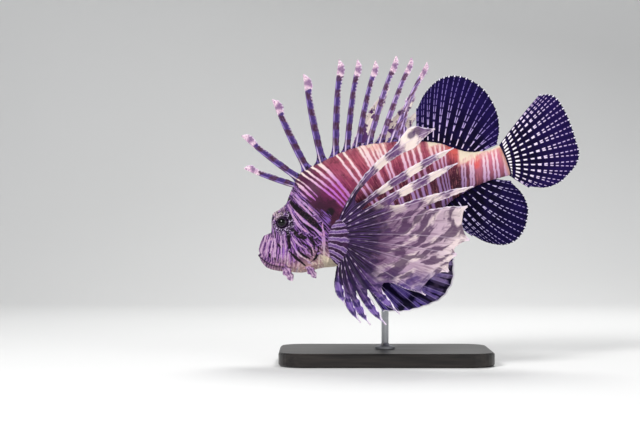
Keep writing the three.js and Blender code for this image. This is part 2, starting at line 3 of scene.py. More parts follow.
import bpy
import numpy as np
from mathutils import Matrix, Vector


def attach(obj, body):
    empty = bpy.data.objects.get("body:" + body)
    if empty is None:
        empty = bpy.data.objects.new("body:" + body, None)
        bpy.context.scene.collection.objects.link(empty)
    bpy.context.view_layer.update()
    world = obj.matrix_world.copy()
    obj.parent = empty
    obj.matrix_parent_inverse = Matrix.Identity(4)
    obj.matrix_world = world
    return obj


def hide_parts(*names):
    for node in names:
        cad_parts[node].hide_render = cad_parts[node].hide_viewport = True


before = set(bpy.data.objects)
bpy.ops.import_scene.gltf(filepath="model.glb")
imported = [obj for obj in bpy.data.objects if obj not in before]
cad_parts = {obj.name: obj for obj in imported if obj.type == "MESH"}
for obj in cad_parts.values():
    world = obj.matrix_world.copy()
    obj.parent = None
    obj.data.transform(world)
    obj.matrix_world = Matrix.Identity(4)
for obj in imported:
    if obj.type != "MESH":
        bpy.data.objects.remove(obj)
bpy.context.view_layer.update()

# The studio: pale paper that sweeps up behind the model, soft lamps, and the camera level with the
# body, 1.6 m in front of it. Sizes here are in metres. Paper, lamps and camera aren't part of it.
PAPER = {"width": 4.4, "near": -1.75, "bend": 1.0, "radius": 0.7, "top": 2.6, "drop": 0.0004}
CAMERA = {"place": (-0.0585, -1.6, 0.13365), "lens": 100, "sensor": 36, "clip": (0.05, 20)}
LAMPS = [
    # place, watts, size
    ((-0.75, -1.1, 1.0), 21.5, 0.5),
    ((0.95, -0.9, 0.5), 4.5, 0.9),
    ((0.25, 0.75, 1.15), 11, 0.6),
]
AIM = Vector((0.0, 0.0, 0.14))
ROOM = {"colour": (0.83, 0.85, 0.9, 1), "strength": 0.3}


def tint(red, green, blue):
    """A screen colour of 0 to 255 as the linear colour that shaders take."""
    shares = [c / 255 for c in (red, green, blue)]
    return tuple(c / 12.92 if c <= 0.04045 else ((c + 0.055) / 1.055) ** 2.4 for c in shares)


class Shade:
    """A socket of a material, which Python arithmetic can be written on."""

    def __init__(self, tree, socket=None):
        self.tree = tree
        self.socket = socket

    def node(self, kind, settings=None, sockets=None, out=0):
        made = self.tree.nodes.new(kind)
        for name, value in (settings or {}).items():
            if name != "stops":
                setattr(made, name, value)
                continue
            stops = made.color_ramp.elements
            stops.remove(stops[1])
            for k, (at, colour) in enumerate(value):
                stop = stops[0] if k == 0 else stops.new(at)
                stop.position = at
                stop.color = (*colour, 1)
        for name, value in (sockets or {}).items():
            if isinstance(value, Shade):
                self.tree.links.new(value.socket, made.inputs[name])
            else:
                made.inputs[name].default_value = value
        return Shade(self.tree, made.outputs[out])

    def maths(self, operation, first, second):
        return self.node("ShaderNodeMath", {"operation": operation}, {0: first, 1: second})

    def __add__(self, other):
        return self.maths("ADD", self, other)

    def __sub__(self, other):
        return self.maths("SUBTRACT", self, other)

    def __rsub__(self, other):
        return self.maths("SUBTRACT", other, self)

    def __mul__(self, other):
        return self.maths("MULTIPLY", self, other)

    def __truediv__(self, other):
        return self.maths("DIVIDE", self, other)

    def __pow__(self, other):
        return self.maths("POWER", self, other)

    __radd__ = __add__
    __rmul__ = __mul__

    def held(self):
        """Kept between 0 and 1."""
        return self.node("ShaderNodeClamp", {}, {0: self})

    def size(self):
        """Without its sign."""
        return self.maths("ABSOLUTE", self, 0)

    def whole(self):
        """The nearest whole number."""
        return self.maths("ROUND", self, 0)

    def beats(self):
        """1 at every whole number, -1 half way between them, as a wave."""
        return self.maths("COSINE", self * (2 * math.pi), 0)

    def mark(self, name):
        """A value that each point of the mesh carries."""
        return self.node("ShaderNodeAttribute", {"attribute_name": name}, out=2)

    def inside(self, soft):
        """1 where a distance in millimetres is inside its line, 0 outside, with an edge so soft."""
        return (self / soft + 0.5).held()

    def within(self, low, high):
        """0 at low, 1 at high, held outside them."""
        return ((self - low) / (high - low)).held()

    def ramp(self, stops):
        """A colour for this value, from (share, screen colour) stops."""
        told = [(at, tint(*colour)) for at, colour in stops]
        return self.node("ShaderNodeValToRGB", {"stops": told}, {0: self})

    def blend(self, low, high):
        """The colour low where this is 0, and high where it is 1."""
        pair = [c if isinstance(c, Shade) else (*tint(*c), 1) for c in (low, high)]
        sockets = {0: self, 6: pair[0], 7: pair[1]}
        return self.node("ShaderNodeMix", {"data_type": "RGBA"}, sockets, out=2)


SHEEN = 0.14  # how much a surface mirrors, where its finish says nothing else


def finish(name, **constants):
    """A new material, a Shade to draw it with, and the inputs of its surface."""
    material = bpy.data.materials.new(name)
    material.use_nodes = True
    surface = material.node_tree.nodes["Principled BSDF"].inputs
    surface["Specular IOR Level"].default_value = SHEEN
    for socket, value in constants.items():
        surface[socket.replace("_", " ")].default_value = value
    return material, Shade(material.node_tree), surface


def coated(shade, surface, colour, roughness=None, height=None, depth=0.0002, strength=0.5):
    """Joins a finish's colour, roughness and relief to its surface."""
    if height is not None:
        values = {"Strength": strength, "Distance": depth, "Height": height}
        relief = shade.node("ShaderNodeBump", {}, values)
        shade.tree.links.new(relief.socket, surface["Normal"])
    for socket, value in (("Base Color", colour), ("Roughness", roughness)):
        if value is not None:
            shade.tree.links.new(value.socket, surface[socket])


def noise(shade, scale, detail=3, where=None, lengthen=None):
    """Soft noise about 0.5, so many swells to a metre."""
    where = where or shade.node("ShaderNodeTexCoord", out=3)
    if lengthen:
        where = shade.node("ShaderNodeVectorMath", {"operation": "MULTIPLY"}, {0: where, 1: lengthen})
    return shade.node("ShaderNodeTexNoise", {}, {"Vector": where, "Scale": scale, "Detail": detail})


def piece(name, points, faces, material, marks=None):
    """A mesh object from points in millimetres, with a value at each point for each of its marks."""
    mesh = bpy.data.meshes.new(name)
    faces = faces.tolist() if isinstance(faces, np.ndarray) else faces
    mesh.from_pydata((np.asarray(points) * 0.001).tolist(), [], faces)
    mesh.polygons.foreach_set("use_smooth", [True] * len(mesh.polygons))
    for mark, values in (marks or {}).items():
        held = mesh.attributes.new(mark, "FLOAT", "POINT")
        held.data.foreach_set("value", np.asarray(values, np.float32).ravel())
    mesh.materials.append(material)
    mesh.update()
    made = bpy.data.objects.new(name, mesh)
    bpy.context.scene.collection.objects.link(made)
    return made


def paper_sweep():
    turn = np.linspace(0, math.pi / 2, 25)
    floor = np.linspace(PAPER["near"], PAPER["bend"], 12)[:-1]
    bent = PAPER["radius"] * np.sin(turn), PAPER["radius"] * (1 - np.cos(turn))
    y = np.concatenate([floor, PAPER["bend"] + bent[0], [PAPER["bend"] + PAPER["radius"]]])
    z = np.concatenate([np.zeros(len(floor)), bent[1], [PAPER["top"]]]) - PAPER["drop"]
    points = [(side * PAPER["width"] / 2, a, b) for a, b in zip(y, z) for side in (-1, 1)]
    faces = [(2 * k, 2 * k + 1, 2 * k + 3, 2 * k + 2) for k in range(len(y) - 1)]
    material, shade, surface = finish("pale_paper", Roughness=0.85)
    colour = noise(shade, 1.5, 2).blend((226, 226, 224), (234, 234, 233))
    coated(shade, surface, colour, height=noise(shade, 900, 2), strength=0.15)
    return piece("paper_sweep", np.array(points) * 1000, faces, material)


paper_sweep()

for k, (place_of, watts, size) in enumerate(LAMPS):
    lamp = bpy.data.lights.new(f"soft_lamp_{k}", "AREA")
    lamp.energy, lamp.shape, lamp.size = watts, "DISK", size
    stand = bpy.data.objects.new(f"soft_lamp_{k}", lamp)
    stand.location = place_of
    stand.rotation_euler = (AIM - stand.location).to_track_quat("-Z", "Y").to_euler()
    bpy.context.scene.collection.objects.link(stand)

world = bpy.data.worlds.new("soft_room")
world.use_nodes = True
world.node_tree.nodes["Background"].inputs[0].default_value = ROOM["colour"]
world.node_tree.nodes["Background"].inputs[1].default_value = ROOM["strength"]
bpy.context.scene.world = world
bpy.context.scene.view_settings.view_transform = "Standard"

view = bpy.data.cameras.new("camera")
view.lens, view.sensor_width, view.sensor_fit = CAMERA["lens"], CAMERA["sensor"], "HORIZONTAL"
view.clip_start, view.clip_end = CAMERA["clip"]
camera = bpy.data.objects.new("camera", view)
camera.location, camera.rotation_euler = CAMERA["place"], (math.pi / 2, 0, 0)
bpy.context.scene.collection.objects.link(camera)
bpy.context.scene.camera = camera

# The skin: one hide over the head, jaws, trunk and root of the tail, laid over the carved body.
# It was cast from a mould, so lips, mouth, gill cover, lids and fin roots are formed in it.
PITCH = math.radians(20.6)
SNOUT = np.array([-113.4, 0, 97.2])
TAILWARD = np.array([math.cos(PITCH), 0, math.sin(PITCH)])
UPWARD = np.array([-math.sin(PITCH), 0, math.cos(PITCH)])
ACROSS = np.array([0, 1, 0])
BODY_LENGTH = 238
BACK = [
    (-0.6, 1.5), (2.5, 6.2), (5.7, 10), (11, 14), (16.6, 14), (19.4, 19), (22, 25.5), (25.2, 29),
    (32, 30.4), (38, 33), (43.6, 39.3), (50.2, 46.5), (55.4, 52), (64.4, 56.1), (80, 57.6), (105, 59.6),
    (117, 59.2), (144, 53.5), (168, 45.6), (187, 36.6), (199.5, 26.5), (208, 20.6), (217, 17),
    (229, 14.6), (238, 15.8),
]
BELLY = [
    (-0.6, -9.6), (2, -13.6), (6.8, -17.9), (20.4, -25), (31.6, -29.6), (47.9, -31.6), (62.6, -35),
    (92.5, -36.4), (122.6, -33.4), (155, -25.4), (183, -15.6), (204.7, -11.9), (217, -11.4),
    (230, -12.4), (238, -13.2),
]
FLANK = [
    (-0.6, 5.4), (4, 8.8), (10, 11), (17, 12.2), (24, 13.4), (32, 15.6), (45, 18.6), (60, 21.2),
    (75, 22.2), (95, 22), (120, 20.2), (150, 16.2), (180, 11), (205, 7.2), (225, 5.2), (238, 4.4),
]
FULLEST = [(-0.6, 0.42), (20, 0.36), (45, 0.36), (70, 0.42), (120, 0.48), (238, 0.5)]
KEEL = [(-0.6, 0.9), (20, 1), (45, 1.12), (80, 1.1), (160, 1), (238, 1)]
GAPE_LINE = [(-0.3, -0.6), (5.5, -10.4), (13, -16), (21, -19.6), (28, -24)]
GILL_LINE = [(48, 41), (56, 27), (63, 14), (66.5, 3), (65.5, -8), (60, -20), (53, -31), (49, -42)]
EYE = {"s": 30.4, "h": 18.6, "out": 8.8, "radius": 6.1}


def smooth_through(pairs):
    """A smooth curve through pairs of distance and value, with no overshoot between them."""
    at, value = np.array(pairs, float).T
    rise = np.diff(value) / np.diff(at)
    slope = np.zeros(len(at))
    slope[0], slope[-1] = rise[0], rise[-1]
    for k in range(1, len(at) - 1):
        if rise[k - 1] * rise[k] > 0:
            slope[k] = 2 * rise[k - 1] * rise[k] / (rise[k - 1] + rise[k])

    def curve(s):
        k = np.clip(np.searchsorted(at, s, side="right") - 1, 0, len(at) - 2)
        width = at[k + 1] - at[k]
        t = np.clip((s - at[k]) / width, 0, 1)
        low, high = (2 * t**3 - 3 * t**2 + 1) * value[k], (3 * t**2 - 2 * t**3) * value[k + 1]
        return low + high + (t**3 - 2 * t**2 + t) * width * slope[k] + (t**3 - t**2) * width * slope[k + 1]

    return curve


back, belly, flank, fullest, keel = map(smooth_through, (BACK, BELLY, FLANK, FULLEST, KEEL))


def place(s, h, y=0.0):
    """A point of the body's own frame: behind the snout, above its axis, and across it."""
    s, h, y = (np.asarray(v, float)[..., None] for v in (s, h, y))
    return SNOUT + s * TAILWARD + h * UPWARD + y * ACROSS


def waist(s):
    return belly(s) + (back(s) - belly(s)) * fullest(s)


def flank_at(s, h):
    middle = waist(s)
    reach = np.where(h > middle, back(s) - middle, middle - belly(s))
    share = np.clip(np.abs(h - middle) / reach, 0, 1)
    return flank(s) * (1 - share**2) ** (np.where(h > middle, keel(s), 1) / 2)


def heading(along, above, out, side):
    direction = along * TAILWARD + above * UPWARD + side * out * ACROSS
    return direction / np.linalg.norm(direction)


def eased(value):
    """0 below 0, 1 above 1, and a soft step between."""
    t = np.clip(value, 0, 1)
    return t * t * (3 - 2 * t)


def bump(value, middle, reach):
    return np.exp(-(((value - middle) / reach) ** 2))


def through(a, b, c, d, t):
    """A smooth curve from b to c that comes from a and heads for d."""
    bend = (2 * a - 5 * b + 4 * c - d) * t**2 + (3 * b - a - 3 * c + d) * t**3
    return b + 0.5 * ((c - a) * t + bend)


def rounded(points, steps):
    """A line through points with its corners rounded, in so many steps from point to point."""
    p = np.array(points, float)
    p = np.vstack([2 * p[0] - p[1], p, 2 * p[-1] - p[-2]])
    t = np.linspace(0, 1, steps, endpoint=False)[:, None]
    return np.vstack([*(through(*four, t) for four in zip(p, p[1:], p[2:], p[3:])), p[-2]])


def near(points, s, h):
    """How far (s, h) is from a line, its share of the way along, and which side of it it is on."""
    line = rounded(points, 6)
    away, share, side = np.full(s.shape, 1e9), np.zeros(s.shape), np.ones(s.shape)
    lengths = np.concatenate([[0], np.cumsum(np.hypot(*np.diff(line, axis=0).T))])
    for k in range(len(line) - 1):
        (a, b), (da, db) = line[k], line[k + 1] - line[k]
        size = math.hypot(da, db) or 1e-9
        t = np.clip(((s - a) * da + (h - b) * db) / size**2, 0, 1)
        distance = np.hypot(s - a - t * da, h - b - t * db)
        closer = distance < away
        away = np.where(closer, distance, away)
        share = np.where(closer, (lengths[k] + t * size) / lengths[-1], share)
        side = np.where(closer, np.sign((s - a) * db - (h - b) * da), side)
    return away, share, side


# Rows are close together on the head and wider apart behind it. Columns crowd at the flanks.
GRID = {"nose": -0.6, "head_end": 70, "head_row": 0.28, "row": 0.76, "columns": 176, "crowding": 0.2}
ROUND_ENDS = {"nose": 3.2, "tail": 1.5, "least": 0.0009}
skin_rows = np.concatenate([
    np.arange(GRID["nose"], GRID["head_end"], GRID["head_row"]),
    np.arange(GRID["head_end"], BODY_LENGTH, GRID["row"]), [BODY_LENGTH],
])
turn = np.linspace(0, 2 * math.pi, GRID["columns"], endpoint=False)
turn = turn + GRID["crowding"] * np.sin(2 * turn)
S, A = np.meshgrid(skin_rows, turn, indexing="ij")
upper = np.cos(A) > 0


def end_cap(distance, reach):
    """How much of the body's section is left so near to one of its ends."""
    return np.sqrt(np.clip(1 - (1 - np.clip(distance / reach, 0, 1)) ** 2, ROUND_ENDS["least"], 1))


cap = end_cap(S - GRID["nose"], ROUND_ENDS["nose"]) * end_cap(BODY_LENGTH - S, ROUND_ENDS["tail"])
middle = waist(S)
H = middle + np.where(upper, back(S) - middle, middle - belly(S)) * np.cos(A) * cap
Y = flank(S) * np.sign(np.sin(A)) * np.abs(np.sin(A)) ** np.where(upper, keel(S), 1) * cap
SIDE = np.where(Y < 0, -1.0, 1.0)
skin = place(S, H, Y)

# Sockets: the skin rises to a bony brow and lids round each eye, and dips in behind the eyeball.
LIDS = {
    "axis": (-0.2, 0.36, 0.91), "opening": 5.45, "edge": 0.7, "crest": 7.1, "rise": 3.3, "brow": 1.1,
    "blends": 7.5, "fades": 11.5, "behind": -2.5, "deepest": -6,
}
for side in (-1, 1):
    axis = heading(*LIDS["axis"], side)
    from_eye = skin - place(EYE["s"], EYE["h"], side * EYE["out"])
    out = from_eye @ axis
    flat = from_eye - out[..., None] * axis
    away = np.linalg.norm(flat, axis=-1)
    above = (flat @ UPWARD) / np.maximum(away, 1e-6)
    crest = LIDS["rise"] + LIDS["brow"] * np.clip(above, 0, 1)
    lid = crest * eased((away - LIDS["opening"] + 0.9) / (LIDS["crest"] - LIDS["opening"] + 0.4))
    formed = np.where(away < LIDS["opening"] - LIDS["edge"], LIDS["behind"], lid)
    formed = np.maximum(formed, out * eased((away - LIDS["crest"]) / 4))
    shown = 1 - eased((away - LIDS["blends"]) / (LIDS["fades"] - LIDS["blends"]))
    shown = shown * (out > LIDS["deepest"]) * (SIDE == side)
    skin = skin + ((formed - out) * shown)[..., None] * axis

# Carving, in millimetres out of the skin: [line, height, half width], with any fade towards its end.
RIDGES = [
    ([(4.5, -5.2), (9, -9.6), (15, -13.4), (21.5, -17.2)], 0.8, 1.9),  # upper jaw
    ([(22.5, -14), (24.5, -17.5), (24, -21)], 0.5, 1.2),
    ([(3, -13.2), (9, -17), (17, -21.2), (27, -26), (36, -28.4)], 0.5, 1.3),  # lower jaw
    ([(2, 3), (6, 7.5), (11, 11.5), (15.5, 12.6)], 0.5, 1.5),  # snout
    ([(21.5, 22), (24.5, 26.5), (29, 28.6), (34.5, 28.6)], 0.7, 1.3),  # brow
    ([(37.5, 31), (41, 33.2), (46, 37.8), (50, 42)], 0.7, 1.1),  # nape
    ([(29, 9.5), (34, 7), (40, 4.2), (46, 1.8), (50.5, -0.6)], 0.8, 1.0),  # cheek keel
    ([(37.5, 22), (43, 20), (49, 18.5), (55, 16)], 0.45, 0.9),
    ([(50.5, 12), (56, 9.4), (61.5, 7.6)], 0.5, 1.0),  # gill cover rays
    ([(50, 16), (54, 16.6), (58.5, 15)], 0.5, 1.0),
    ([(22, 12), (20.5, 5), (17, -3), (13.5, -8.5)], 0.35, 0.8),
    ([(26, 10), (25, 3), (23, -4), (20, -10)], 0.3, 0.8),
    ([(12, 9), (9.5, 3), (6, -2)], 0.3, 0.8),
]
GROOVES = [
    ([(13, -7), (18, -10.5), (22, -13.5), (25, -18), (25.5, -22)], 0.55, 0.6),  # fold over the jaw
    ([(17.5, 15.5), (18, 9), (15.5, 2), (11, -4)], 0.35, 0.8),
    ([(28, -29), (36, -26.2), (45, -26.6), (52, -30)], 0.5, 0.7),  # throat
    ([(33, -30), (40, -28.4), (48, -29.4), (56, -33)], 0.35, 0.6),
    ([(40, 28), (44.5, 20), (49, 12), (51, 7)], 0.4, 1.0),
]
STEPS = [
    # raised in front of the line, and falling away behind it
    ([(47.5, 8), (52.6, 2), (54, -6), (52.4, -14), (47.6, -20.5), (40, -24.5)], 0.85, 0.7),
    (GILL_LINE[1:-1], 1.15, 0.8),
]
MOUTH = {"corner": 0.62, "closes": 0.22, "wide": 0.5, "deep": 1.9}
LIP = {"from_mouth": 1.55, "wide": 0.85, "high": 0.95}
carving = np.zeros(S.shape)
distance, share, _ = near(GAPE_LINE, S, H)
corner = 1 - eased((share - MOUTH["corner"]) / MOUTH["closes"])
# The gape's groove; the skin's finish also paints it near-black, as painted shade.
mouth = bump(distance, 0, MOUTH["wide"]) * corner
carving += LIP["high"] * bump(distance, LIP["from_mouth"], LIP["wide"]) * corner - MOUTH["deep"] * mouth
for marks, sign, ends in ((RIDGES, 1, 5), (GROOVES, -1, 4)):
    for line, size, reach in marks:
        distance, share, _ = near(line, S, H)
        carving += sign * size * bump(distance, 0, reach) * eased(share * ends) * eased((1 - share) * ends)
for line, height, soft in STEPS:
    distance, share, side = near(line, S, H)
    ends = eased(share * 6) * eased((1 - share) * 6)
    signed = distance * side  # positive in front of the line
    carving += height * ends * eased(0.5 + signed / soft) * np.exp(-np.clip(signed, 0, None) / 7)
    carving -= 0.6 * ends * bump(signed, -soft, soft)
carving += 0.9 * bump(S, 42, 8) * bump(H, -9, 8)  # cheek muscle
carving -= 1.2 * bump(S, 29, 7) * bump(Y, 0, 3.2) * (H > 10)  # hollow between the brows

# Fleshy roots of the fin rays along the back and the belly.
SPINE_ROOTS = [51.5, 56.5, 66, 80.8, 93.6, 104.7, 114.6, 124.7, 135.4, 145, 152.6, 158.5]
SOFT_ROOTS = np.linspace(169, 214, 12)
ANAL_ROOTS = np.linspace(166, 216, 10)
FIN_ROOT = {"long": 1.9, "wide": 2.2, "high": 4}
for roots, edge, size in ((SPINE_ROOTS, back, 0.9), (SOFT_ROOTS, back, 0.5), (ANAL_ROOTS, belly, 0.5)):
    over_edge = bump(Y, 0, FIN_ROOT["wide"]) * bump(H, edge(S), FIN_ROOT["high"])
    for root in roots:
        carving += size * bump(S, root, FIN_ROOT["long"]) * over_edge
carving *= cap


def grid_normals(points):
    """Outward normals of a tube of rows round the body."""
    lengthwise = np.gradient(points, axis=0)
    round_it = np.roll(points, -1, axis=1) - np.roll(points, 1, axis=1)
    normals = np.cross(round_it, lengthwise)
    return normals / np.maximum(np.linalg.norm(normals, axis=-1, keepdims=True), 1e-9)


skin = skin + grid_normals(skin) * carving[..., None]


def tube_faces(rows, columns):
    """Faces of a closed tube of rows, with a fan of triangles over each end."""
    a = np.arange(rows * columns).reshape(rows, columns)
    b = np.roll(a, -1, axis=1)
    sides = np.stack([a[:-1], a[1:], b[1:], b[:-1]], -1).reshape(-1, 4).tolist()
    first, last = rows * columns, rows * columns + 1
    ends = [(first, a[0, k], b[0, k]) for k in range(columns)]
    ends += [(last, b[-1, k], a[-1, k]) for k in range(columns)]
    return sides + [tuple(int(v) for v in face) for face in ends]


def with_ends(values):
    """Adds the middle of the first and of the last row to a grid of points or marks."""
    flat = values.reshape(-1, *values.shape[2:])
    return np.concatenate([flat, values[:1].mean(axis=1), values[-1:].mean(axis=1)])


# Markings. Each is a list of lines with half their width; a mark is how far inside its line a point
# is, in millimetres, so that the finish can draw a clean edge at any size.
LEAN = [
    (60, 0.65), (75, 0.62), (90, 0.35), (105, 0.27), (118, 0.18), (130, 0.05), (150, -0.1),
    (176, -0.12), (190, -0.28), (205, -0.33), (225, -0.24), (238, -0.2),
]
lean = smooth_through(LEAN)
LEVEL = 30.0
SLIDES = 24


def slid(s, h):
    """Where the line through (s, h) that follows the bands' lean meets the level line."""
    s = np.array(s, float)
    for _ in range(SLIDES):
        s = s + lean(s) * (h - LEVEL) / SLIDES
    return s


PALE_BANDS = [
    # where it crosses, at which height, half width, and its ends where it doesn't go all the way
    (77, 30, 1.05), (81.5, 30, 1.0), (86.6, 30, 1.05), (91, 30, 1.3), (105, 30, 1.0), (110.6, 30, 1.05),
    (117.6, 56, 0.9, 30, 70), (125, 30, 1.6), (127.9, 46, 0.7, 40, 70), (131.4, 46, 0.8, 38, 70),
    (134.3, 30, 0.85), (137.8, 30, 1.0), (150.6, 30, 1.25), (155, 30, 0.9), (160.6, 30, 1.0),
    (166.5, 30, 1.1), (176.5, 30, 1.15), (181, 30, 0.8), (185, 30, 0.9), (188.8, 30, 0.7),
    (196.5, 5, 0.9), (199.4, 5, 0.7), (204.6, 5, 0.8), (207.2, 5, 0.75), (217.6, 5, 0.9),
    (221, 5, 0.8), (226.6, 5, 0.75), (230, 5, 0.8), (238.2, 5, 2.2),
]
ALL_THE_WAY = (-40, 70)
# Cream patches along the top of the back. The last, on top of the root of the tail, is painted light falling
# from above.
CREAM_PATCHES = [
    # first and last crossing of the level line, and the height above which it spreads
    (127.5, 138, 56.5), (150.2, 167, 44), (176, 190.5, 36), (203, 247, 14),
]
HEAD_PALE = [
    ([(12, 13.5), (9, 10), (5, 5.5), (2.4, 0.5), (1.5, -5)], 0.9),
    ([(15.5, 11.5), (11.5, 6.5), (7.5, 0.5), (4.8, -5)], 0.75),
    ([(17.5, 9), (13.8, 3), (10.4, -3), (7.4, -8.4)], 0.7),
    ([(17, 3), (13, -4), (10.6, -9.5)], 0.6),
    ([(24.4, 26.5), (22, 19.5), (19.6, 11.5), (17.6, 5), (14.6, -3.5), (12, -11)], 0.8),
    ([(25.6, 13), (24, 7), (22.2, 1), (19.6, -6), (16.6, -13)], 0.75),
    ([(28.2, 11), (26.6, 5), (25, -1.5), (22, -9), (19, -15.5)], 0.65),
    ([(40.4, 26), (41, 20), (42, 14), (44.5, 8), (48.4, 2.6)], 1.35),
    ([(43.6, 24.4), (46.5, 17), (50, 11), (53.6, 5.8), (56.6, 0.6), (57.6, -3.4)], 0.95),
    ([(45.5, 41.5), (48, 35.4), (50.7, 29), (54, 22), (57, 15.4), (60.2, 8.6)], 1.0),
    ([(49, 39.6), (52.4, 32.4), (55.6, 26), (59, 19.4), (61.4, 14), (63.2, 9.6)], 0.75),
    ([(50.6, 45.6), (53.6, 39.8), (57, 33), (60.4, 27.6)], 0.6),
    ([(54.6, 44.6), (58.4, 38.4), (61.6, 32.4), (65, 28)], 0.7),
    ([(52.4, 50.6), (57.6, 42.6), (61.4, 34.6), (64.6, 27)], 0.7),
    ([(54.6, 52.6), (60.4, 44.4), (64.6, 36), (67.4, 29.6)], 0.6),
    ([(46.4, 43.2), (50.4, 35.2), (54, 28), (57.6, 20.6), (60.6, 13)], 0.6),
    ([(41.4, 36), (42.6, 30), (45.4, 22.4), (48.6, 15.6)], 0.75),
    ([(39.6, 33), (40.6, 28.4), (41.4, 23.6)], 0.8),
    ([(33.6, 6), (34.6, 0.6), (37.4, -5.4), (41.6, -10.8)], 0.8),
    ([(31.2, 1), (32, -7), (34.8, -14.6), (40, -21)], 0.75),
    ([(44.6, -3), (46.8, -9.6), (46.6, -16)], 0.6),
    ([(56, 3), (58.8, -3), (57.4, -10), (53.6, -16)], 0.7),
    ([(63.5, 6.7), (61.7, 1.8), (60.6, -5), (56.8, -15), (53.6, -24), (51, -32)], 1.2),
    ([(50.3, -20), (48, -26), (45, -31)], 0.7),
    ([(28.5, -3.5), (24, -11), (20.4, -18.5)], 0.7),
]
HEAD_DARK = [
    ([(32.2, 13), (31, 7), (29.4, 1), (27.9, -4.4)], 1.3),
    ([(26.6, -7), (29, -12), (31.6, -17), (33.8, -21), (35.6, -24.4)], 0.95),
    ([(37.6, 27), (38.2, 20.6), (37.2, 14)], 1.3),
    ([(36.4, 9.4), (38.4, 4.8), (41.4, 1.4), (44.6, -0.8)], 1.8),
    ([(42, 36.6), (45, 29.4), (48.2, 23), (51.8, 16.8), (55.2, 10.8), (58, 4.6), (59.6, 0.4)], 2.1),
    ([(48.4, -1.6), (49.6, -7.4), (48.2, -13)], 0.9),
    ([(34.6, -9), (37.4, -15), (41.4, -20)], 0.8),
    ([(39, -2.8), (43, -8), (45.2, -13.4), (44, -19)], 0.6),
    ([(52.8, -11.4), (50.2, -17.4), (45.6, -21.6), (41, -23)], 0.75),
    ([(55.4, 50.4), (59.4, 45), (63.6, 37.4), (68, 30), (72.4, 24)], 3.1),
    ([(9.6, -3), (8.2, -6.6)], 0.6), ([(12.6, -8), (11.8, -11)], 0.6),
    ([(19, 3.4), (20.6, -1.6)], 0.6), ([(22.8, 22), (21.4, 16.4), (19.2, 8.4)], 0.6),
    ([(15, -18), (16.4, -21.6)], 0.8), ([(30.4, 29), (36, 28.4)], 0.9),
    ([(56, 20.4), (58.4, 15.4)], 0.5), ([(47.8, 11.4), (50.4, 6.4), (53.6, 1.4)], 0.7),
]


def ripple(size, start):
    """A gentle wander of a marking's edges over the skin, the same on every run."""
    long_waves = np.sin(0.61 * H + 0.9 * start + 0.13 * S)
    return size * (long_waves + 0.6 * np.sin(1.37 * H + 2.3 * start - 0.3 * S))


def with_strokes(mark, strokes, thin, swell, rough, first):
    """A mark with brush strokes added to it, each thin at its ends and swelling between them."""
    for k, (line, half) in enumerate(strokes, first):
        distance, share, _ = near(line, S, H)
        inside = half * (thin + swell * np.sin(math.pi * share)) - distance
        mark = np.maximum(mark, inside + ripple(rough, k))
    return mark


# The fine streaks of the head run back and down from the brow, and down and forward on the snout.
STREAK_LEAN = [
    (-1, -0.62), (14, -0.6), (24, -0.36), (31, -0.16), (38, 0.18), (46, 0.42), (60, 0.47), (240, 0.47),
]
flow = S + smooth_through(STREAK_LEAN)(S) * (H + 5)
level_s = slid(S, H)
pale, cream, dark = (np.full(S.shape, least) for least in (-4.0, -9.0, -4.0))
for k, (s, h, half, *ends) in enumerate(PALE_BANDS):
    low, high = ends or ALL_THE_WAY
    wide = half * (1.12 - 0.006 * (H - 10))
    inside = wide - np.abs(level_s - slid(s, h) + ripple(0.16, k))
    pale = np.maximum(pale, np.minimum(inside, np.minimum(H - low, high - H)))
for k, (first, last, floor) in enumerate(CREAM_PATCHES, 3):
    across_it = np.minimum(level_s - first, last - level_s)
    cream = np.maximum(cream, np.minimum(across_it, (H - floor) / 2.2 + ripple(0.5, k)))
gill_edge = np.interp(H, *np.array([(h, s) for s, h in reversed(GILL_LINE)]).T)
on_head = np.where(H > 20, eased((62 - 0.25 * (H - 20) - S) / 3), eased(gill_edge / 4 - S / 4 + 1.2))
pale = with_strokes(np.where(on_head > 0.5, -4, pale), HEAD_PALE, 0.4, 0.55, 0.14, 0)
dark = with_strokes(dark, HEAD_DARK, 0.7, 0.6, 0.12, 7)
chest = np.minimum((66 - S) / 2, -20 - 0.9 * (S - 52) - H)
cream = np.maximum(cream, np.minimum((S - 51) / 2, chest))
skin_marks = {
    "behind_snout": S, "above_axis": H, "back_share": (H - belly(S)) / (back(S) - belly(S)),
    "pale": pale, "cream": cream, "dark": dark, "on_head": on_head, "mouth": mouth, "flow": flow,
    "level": level_s,
}


def layered(ground, *coats):
    """A ground colour with coats over it, each told as how much of it shows and its colour."""
    for shown, colour in coats:
        ground = shown.blend(ground, colour)
    return ground


